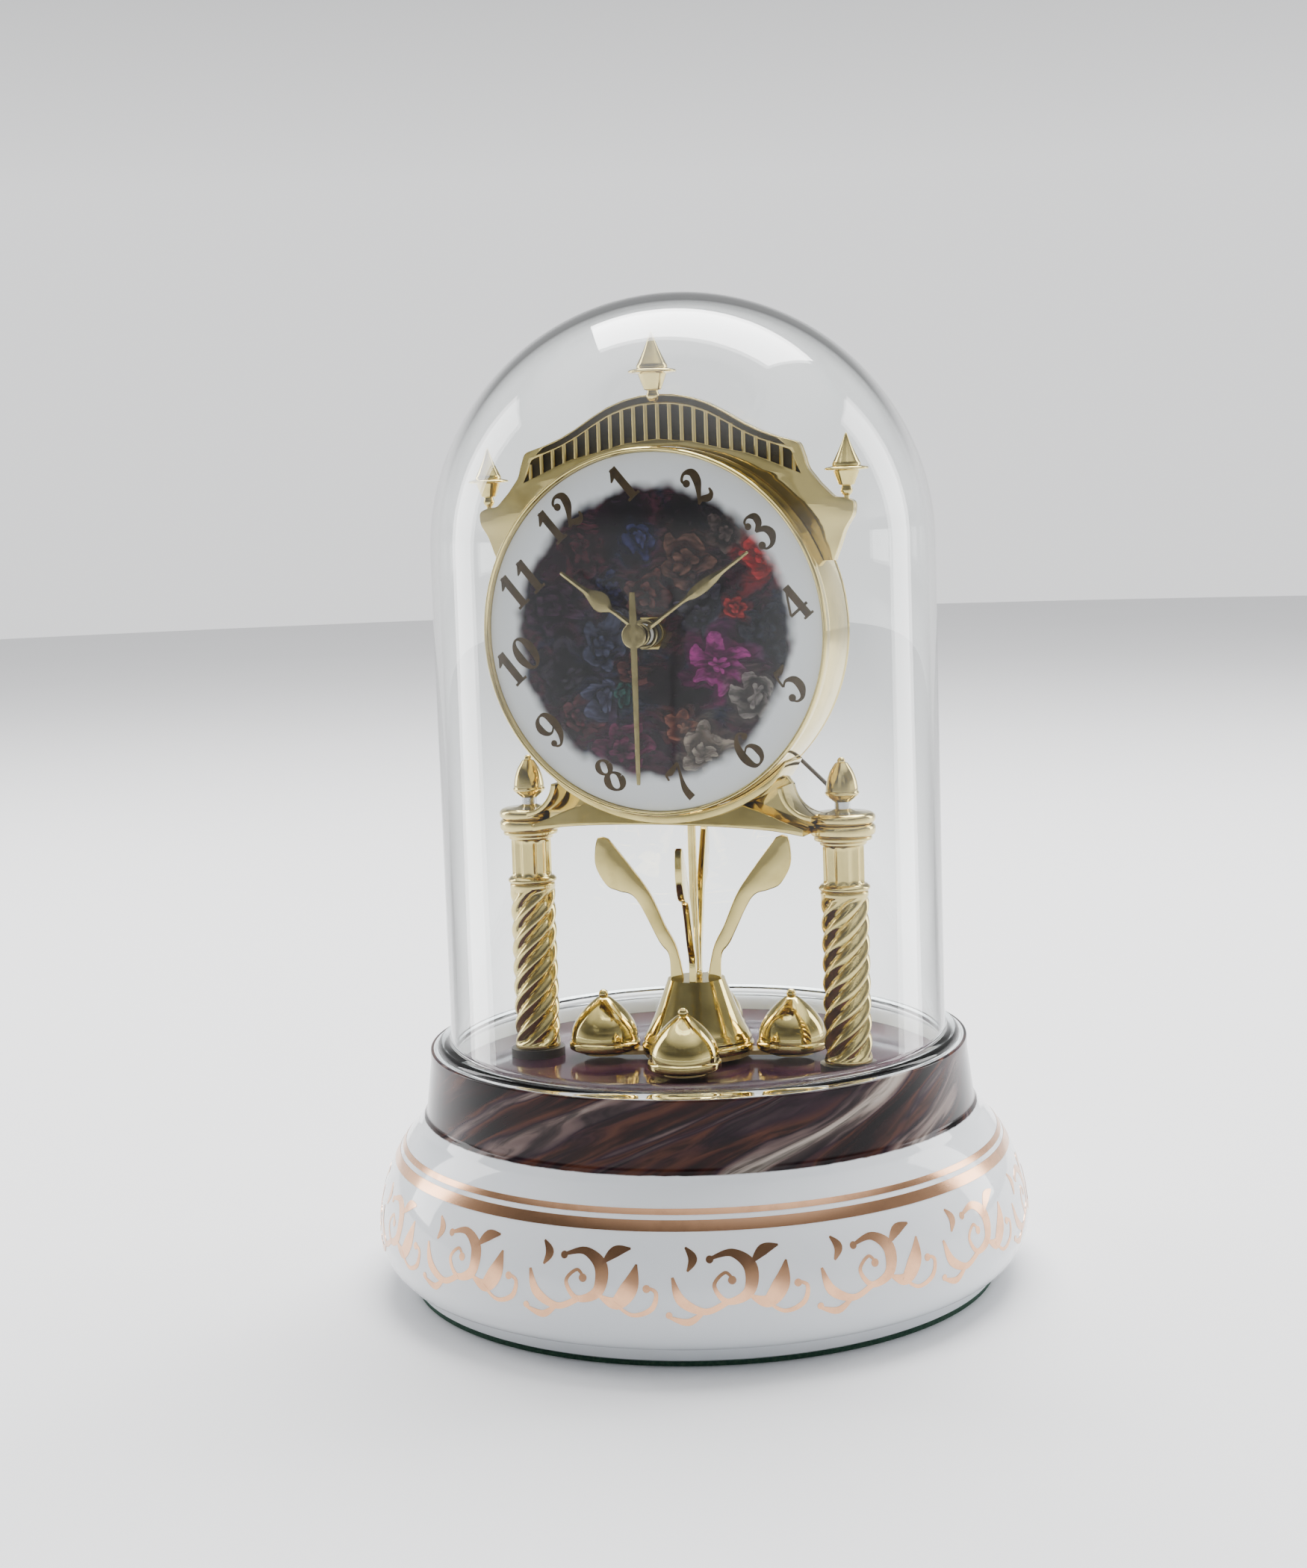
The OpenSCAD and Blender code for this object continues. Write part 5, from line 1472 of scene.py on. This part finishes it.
@dataclass
class Hand:
    """One hand: a ridged leaf and its round hub.

    Attributes:
        node: The CAD node it stands for.
        body: The body it rides on.
        angle: Degrees clockwise from upright.
        front: Y of the blade's front.
        length: Centre to tip.
        stations: (share of the length, half width) along the blade.
        hub_r: Radius of the hub.
        hub: Front and rear of the hub.
        bore: Radius of the hub's bore, 0 for a closed one.
    """
    node: str
    body: Body
    angle: float
    front: float
    length: float
    stations: tuple[Point2, ...]
    hub_r: float
    hub: Point2
    bore: float = 0.0
    thickness: float = 0.4

    def blade(self) -> bpy.types.Object:
        """The leaf, with a fine ridge down its middle."""
        run = flowing([(share * self.length, half) for share, half in self.stations], 6)
        a = math.radians(self.angle)
        points: list[Point3] = []
        faces: list[list[int]] = []
        for along, half in run:
            half = max(half, 0.12)
            flat = self.front + self.thickness * 0.55
            for u, y in ((-half, flat), (0.0, self.front), (half, flat), (half, self.front + self.thickness),
                         (-half, self.front + self.thickness)):
                x = u * math.cos(a) + along * math.sin(a)
                z = -u * math.sin(a) + along * math.cos(a)
                points.append((x, y, DIAL_Z + z))
        for i in range(len(run) - 1):
            for k in range(5):
                n = (k + 1) % 5
                faces.append([5 * i + k, 5 * i + n, 5 * i + 5 + n, 5 * i + 5 + k])
        last = 5 * (len(run) - 1)
        faces += [list(range(5)), list(range(last + 4, last - 1, -1))]
        return from_points("blade", points, faces, 20)

    def build(self) -> None:
        """Make the hand."""
        front, rear = self.hub
        outline = [(self.bore, front), (self.hub_r - 0.25, front), (self.hub_r, front + 0.2),
                   (self.hub_r, rear), (self.bore, rear)]
        hub = turned("hub", softened(outline, 0.12, steps=3), 72, Turn.DIAL)
        hand = joined(f"{self.node}_leaf", [self.blade(), hub])
        settle(hand, HAND_BRASS, self.body, Slot.HAND, self.node)


def clock_hands() -> list[Hand]:
    """The three hands, set at the rest pose."""
    hour = Hand("hour_hand", Body.HOUR, 305.2, -25.1, 24.2,
                ((0.10, 0.75), (0.36, 0.50), (0.42, 1.0), (0.47, 1.9), (0.53, 2.2), (0.59, 1.8), (0.68, 0.9),
                 (0.76, 0.6), (0.97, 0.45), (1.0, 0.15)), 3.3, (-25.3, -24.2), 2.41)
    minute = Hand("minute_hand", Body.MINUTE, 55.6, -28.1, 31.4,
                  ((0.06, 0.6), (0.40, 0.4), (0.50, 1.1), (0.58, 1.35), (0.68, 1.1), (0.78, 0.5),
                   (0.98, 0.35), (1.0, 0.12)), 2.6, (-28.3, -27.2), 1.51)
    second = Hand("second_hand", Body.SECOND, 180.0, -31.25, 32.0,
                  ((-0.30, 0.62), (-0.08, 0.88), (0.08, 0.78), (0.5, 0.62), (0.99, 0.46), (1.0, 0.2)), 2.9,
                  (-31.1, -30.6))
    return [hour, minute, second]


@dataclass
class Pendulum:
    """Bell hub, rod, four leaves and four balls that turn together."""
    rest_turn: float = 13.2
    ball_r: float = 8.4
    leaf_t: float = 1.6
    hub_top: float = 70.5

    def around(self, index: int) -> Matrix:
        """Turn of the numbered arm about the pendulum's axis."""
        return Matrix.Rotation(math.radians(self.rest_turn - 90 + 90 * index), 4, "Z")

    def leaf(self, index: int) -> bpy.types.Object:
        """One flat leaf, rising and spreading from the hub."""
        inner = flowing([(2.6, 65), (2.9, 70.5), (4.4, 77.8), (7, 83), (10.3, 90.5), (14.8, 97),
                         (19.8, 103.5)], 6)
        outer = flowing([(22.4, 103.7), (23, 101.5), (23, 97), (20.5, 92.5), (17.6, 91.1), (13.6, 89.2),
                         (8.5, 79.2), (6.3, 76), (6, 70), (6.4, 65)], 5)
        outline = [(p[0], p[1]) for p in inner] + [(21.2, 104.0)] + [(p[0], p[1]) for p in outer]
        blade = plate(f"leaf_{index + 1}", [outline], -self.leaf_t / 2, self.leaf_t, 0.3)
        blade.data.transform(self.around(index))
        return blade

    def ball(self, index: int) -> bpy.types.Object:
        """One conical ball with its foot band and nub."""
        box = NodeBox.of(f"pendulum_ball_{index + 1}")
        foot, r = box.low.z, self.ball_r
        base = softened([(0, foot), (r - 0.8, foot), (r, foot + 0.5), (r, foot + 1.9),
                         (r - 0.45, foot + 2.3)], 0.3, closed=False)
        cone = [((r - 0.45) * (1 - 0.82 * t ** 2.1), foot + 2.5 + 9.9 * t)
                for t in (k / 24 for k in range(25))]
        nub = arc((0, foot + 13.05), 1.15, -32, 90, 10)
        middle = box.centre
        return turned(f"ball_{index + 1}", base + cone + nub, 128, at=(middle.x, middle.y), sharp=42)

    def hub(self) -> bpy.types.Object:
        """The bell-shaped hub."""
        foot = NodeBox.of("pendulum_hub").low.z
        skirt = softened([(0, foot), (12.9, foot), (13.2, foot + 0.6), (13.2, foot + 1.6), (12.6, foot + 2.2),
                          (12.7, foot + 3.0), (12.2, foot + 3.8)], 0.3, closed=False)
        rise = self.hub_top - foot - 4.2
        bell = [(12.1 - 5.4 * t ** 0.85, foot + 4.2 + rise * t) for t in (k / 20 for k in range(21))]
        top = softened([bell[-1], (6.3, self.hub_top), (2.2, self.hub_top), (0, self.hub_top)], 0.4,
                       closed=False)
        return turned("bell_hub", skirt + bell[:-1] + top, 144, sharp=40)

    def rod(self) -> bpy.types.Object:
        """The slim rod with its drive magnet."""
        box = NodeBox.of("pendulum_rod")
        magnet = box.high.z - 2.4
        outline = [(0, self.hub_top - 6), (1, self.hub_top - 6), (1, self.hub_top), (1.5, self.hub_top + 0.3),
                   (1.5, self.hub_top + 1.6), (1, self.hub_top + 2), (1, magnet), (3.8, magnet),
                   (3.8, box.high.z), (0, box.high.z)]
        return turned("rod", softened(outline, 0.2, closed=False, steps=3), 48)

    def build(self) -> None:
        """Make the pendulum's pieces."""
        settle(self.rod(), BRASS, Body.PENDULUM, Slot.BRASS, "pendulum_rod")
        settle(self.hub(), BRASS, Body.PENDULUM, Slot.BRASS, "pendulum_hub")
        for index in range(4):
            settle(self.leaf(index), BRASS, Body.PENDULUM, Slot.BRASS, f"leaf_arm_{index + 1}")
            settle(self.ball(index), BRASS, Body.PENDULUM, Slot.BRASS, f"pendulum_ball_{index + 1}")


@dataclass
class GlassDome:
    """The blown dome with its rolled foot."""
    wall: float = 1.8
    shell_r: float = 58.0
    bead_h: float = 2.4
    lift: float = 0.04

    def build(self) -> None:
        """Make the dome."""
        box = NodeBox.of("glass_dome")
        foot, top, bead_r = box.low.z + self.lift, box.high.z, box.high.x
        spring = top - self.shell_r
        inner = self.shell_r - self.wall
        roll = arc((bead_r - self.bead_h / 2, foot + self.bead_h / 2), self.bead_h / 2, -80, 90, 14)
        outline = [(inner + 0.4, foot), *roll, (self.shell_r + 0.9, foot + self.bead_h + 0.1),
                   (self.shell_r, foot + self.bead_h + 1.2)]
        outline += arc((0, spring), self.shell_r, 0, 90, 48)
        outline += arc((0, spring), inner, 90, 0, 48)
        outline += [(inner, foot + 0.4)]
        dome = turned("dome_shell", outline, 192, sharp=60)
        settle(dome, GLASS, Body.DOME, Slot.GLASS, "glass_dome")


@dataclass
class SettingKnob:
    """The ribbed knob that sets the hands, at the back."""
    ribs: int = 18

    def build(self) -> None:
        """Make the knob."""
        box = NodeBox.of("set_knob")
        middle = box.centre
        rear, radius = box.high.y, (box.high.x - box.low.x) / 2
        head_t = 4.6
        head = LOBED.grow("head", {
            "Radius": radius * MM, "Depth": 0.4 * MM, "Lobes": float(self.ribs), "Turns": 0.0, "Hollow": 1.0,
            "Fade": 0.5 * MM, "Height": head_t * MM, "Foot": 0.0, "Across": 0.0, "Back": 0.0, "Around": 144,
            "Along": 12, "Material": GREY_PLASTIC.build()}, None, 40)
        lay_down = Matrix.Rotation(math.radians(-90), 4, "X")
        head.data.transform(Matrix.Translation(Vector((middle.x, rear - head_t, middle.z)) * MM) @ lay_down)
        stem = turned("stem", [(0, box.low.y), (2.2, box.low.y), (2.2, rear - head_t + 0.2),
                               (0, rear - head_t + 0.2)], 48, Turn.DIAL)
        stem.data.transform(Matrix.Translation(Vector((middle.x, 0, middle.z - DIAL_Z)) * MM))
        knob = joined("setting_knob", [head, stem])
        settle(knob, GREY_PLASTIC, Body.SETTING, Slot.GREY, "set_knob")


# ---- studio ----
@dataclass
class Studio:
    """Camera, pale floor and soft lamps.

    Attributes:
        eye: The camera's place, in millimetres.
        azimuth: Its heading from straight ahead, in degrees.
        pitch: How far it looks down, in degrees.
        roll: Its roll, in degrees.
        lens: Focal length on a 36 mm sensor.
        sky: Brightness of the room at heights from the horizon, 0, to overhead, 1.
        front_share: Share of that brightness that is left in front of the clock.
    """
    eye: Point3 = (208.78, -529.86, 185.6)
    azimuth: float = 22.365
    pitch: float = 6.977
    roll: float = -1.918
    lens: float = 56.42
    sky: tuple[Point2, ...] = ((0.0, 1.35), (0.12, 1.35), (0.30, 0.35), (0.60, 0.25), (0.82, 1.9), (1.0, 2.4))
    front_share: float = 0.34

    def camera(self) -> None:
        """Set up the camera."""
        az, down, roll = (math.radians(a) for a in (self.azimuth, self.pitch, self.roll))
        ahead = Vector((-math.sin(az) * math.cos(down), math.cos(az) * math.cos(down), -math.sin(down)))
        level = Vector((math.cos(az), math.sin(az), 0))
        above = level.cross(ahead)
        right = level * math.cos(roll) + above * math.sin(roll)
        up = above * math.cos(roll) - level * math.sin(roll)
        data = bpy.data.cameras.new("camera")
        data.lens = self.lens
        data.sensor_width = 36
        data.clip_start = 0.01
        camera = bpy.data.objects.new("camera", data)
        turn = Matrix((right, up, -ahead)).transposed().to_4x4()
        camera.matrix_world = Matrix.Translation(Vector(self.eye) * MM) @ turn
        bpy.context.scene.collection.objects.link(camera)
        bpy.context.scene.camera = camera

    def lamp(self, name: str, at: Point3, size: Point2, power: float) -> None:
        """A softbox that faces the dial.

        Args:
            name: The lamp's name.
            at: Its place, in metres.
            size: Width and height, in metres.
            power: Watts.
        """
        data = bpy.data.lights.new(name, "AREA")
        data.shape = "RECTANGLE"
        data.size, data.size_y = size
        data.energy = power
        lamp = bpy.data.objects.new(name, data)
        aim = Vector((0, 0, 0.11)) - Vector(at)
        lamp.rotation_euler = aim.to_track_quat("-Z", "Y").to_euler()
        lamp.location = at
        bpy.context.scene.collection.objects.link(lamp)

    def surroundings(self) -> None:
        """Pale floor, and a soft grey sky that is dimmer part way up and in front of the clock."""
        floor = Finish("studio_floor", (0.80, 0.80, 0.81), (0.78, 0.78, 0.79), rough=(0.6, 0.7), grain=0.002)
        sheet = turned("floor", [(0, -0.05), (3000, -0.05), (3000, -20), (0, -20)], 96)
        sheet.data.materials.append(floor.build())
        world = bpy.data.worlds.new("studio")
        world.use_nodes = True
        bpy.context.scene.world = world
        tree = world.node_tree
        where = tree.nodes.new("ShaderNodeTexCoord").outputs["Generated"]
        parts = tree.nodes.new("ShaderNodeSeparateXYZ")
        tree.links.new(where, parts.inputs[0])
        ramp = tree.nodes.new("ShaderNodeValToRGB")
        while len(ramp.color_ramp.elements) < len(self.sky):
            ramp.color_ramp.elements.new(0.5)
        for element, (at, grey) in zip(ramp.color_ramp.elements, self.sky):
            element.position = at
            element.color = (grey, grey * 1.005, grey * 1.02, 1)
        behind = tree.nodes.new("ShaderNodeMapRange")
        behind.interpolation_type = "SMOOTHSTEP"
        for index, value in enumerate((-0.8, 0.05, self.front_share, 1.0)):
            behind.inputs[index + 1].default_value = value
        tree.links.new(parts.outputs[2], ramp.inputs[0])
        tree.links.new(parts.outputs[1], behind.inputs[0])
        tree.links.new(ramp.outputs[0], tree.nodes["Background"].inputs["Color"])
        tree.links.new(behind.outputs[0], tree.nodes["Background"].inputs["Strength"])

    def build(self) -> None:
        """Make the studio."""
        self.camera()
        self.surroundings()
        self.lamp("overhead", (-0.10, 0.62, 1.32), (1.2, 0.6), 52)
        self.lamp("left", (-1.25, 0.1, 0.55), (0.4, 1.0), 9)
        self.lamp("right", (0.95, 0.95, 0.55), (0.4, 1.0), 9)


def dress_cad_nodes() -> None:
    """Give every CAD node that still shows its finish."""
    for node, finish in CAD_FINISHES.items():
        material = finish.build()
        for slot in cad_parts[node].material_slots:
            slot.material = material
        LOG.info("%s: dressed in %s", node, finish.name)


def main() -> None:
    """Build the clock and its studio."""
    logging.basicConfig(level=logging.INFO, format="%(name)s: %(message)s")
    Studio().build()
    PorcelainBase().build()
    for side in (-1, 1):
        Column(side).build()
    DialBracket().build()
    DialCase().build()
    Crown().build()
    for hand in clock_hands():
        hand.build()
    Pendulum().build()
    SettingKnob().build()
    GlassDome().build()
    dress_cad_nodes()


if __name__ == "__main__":
    main()
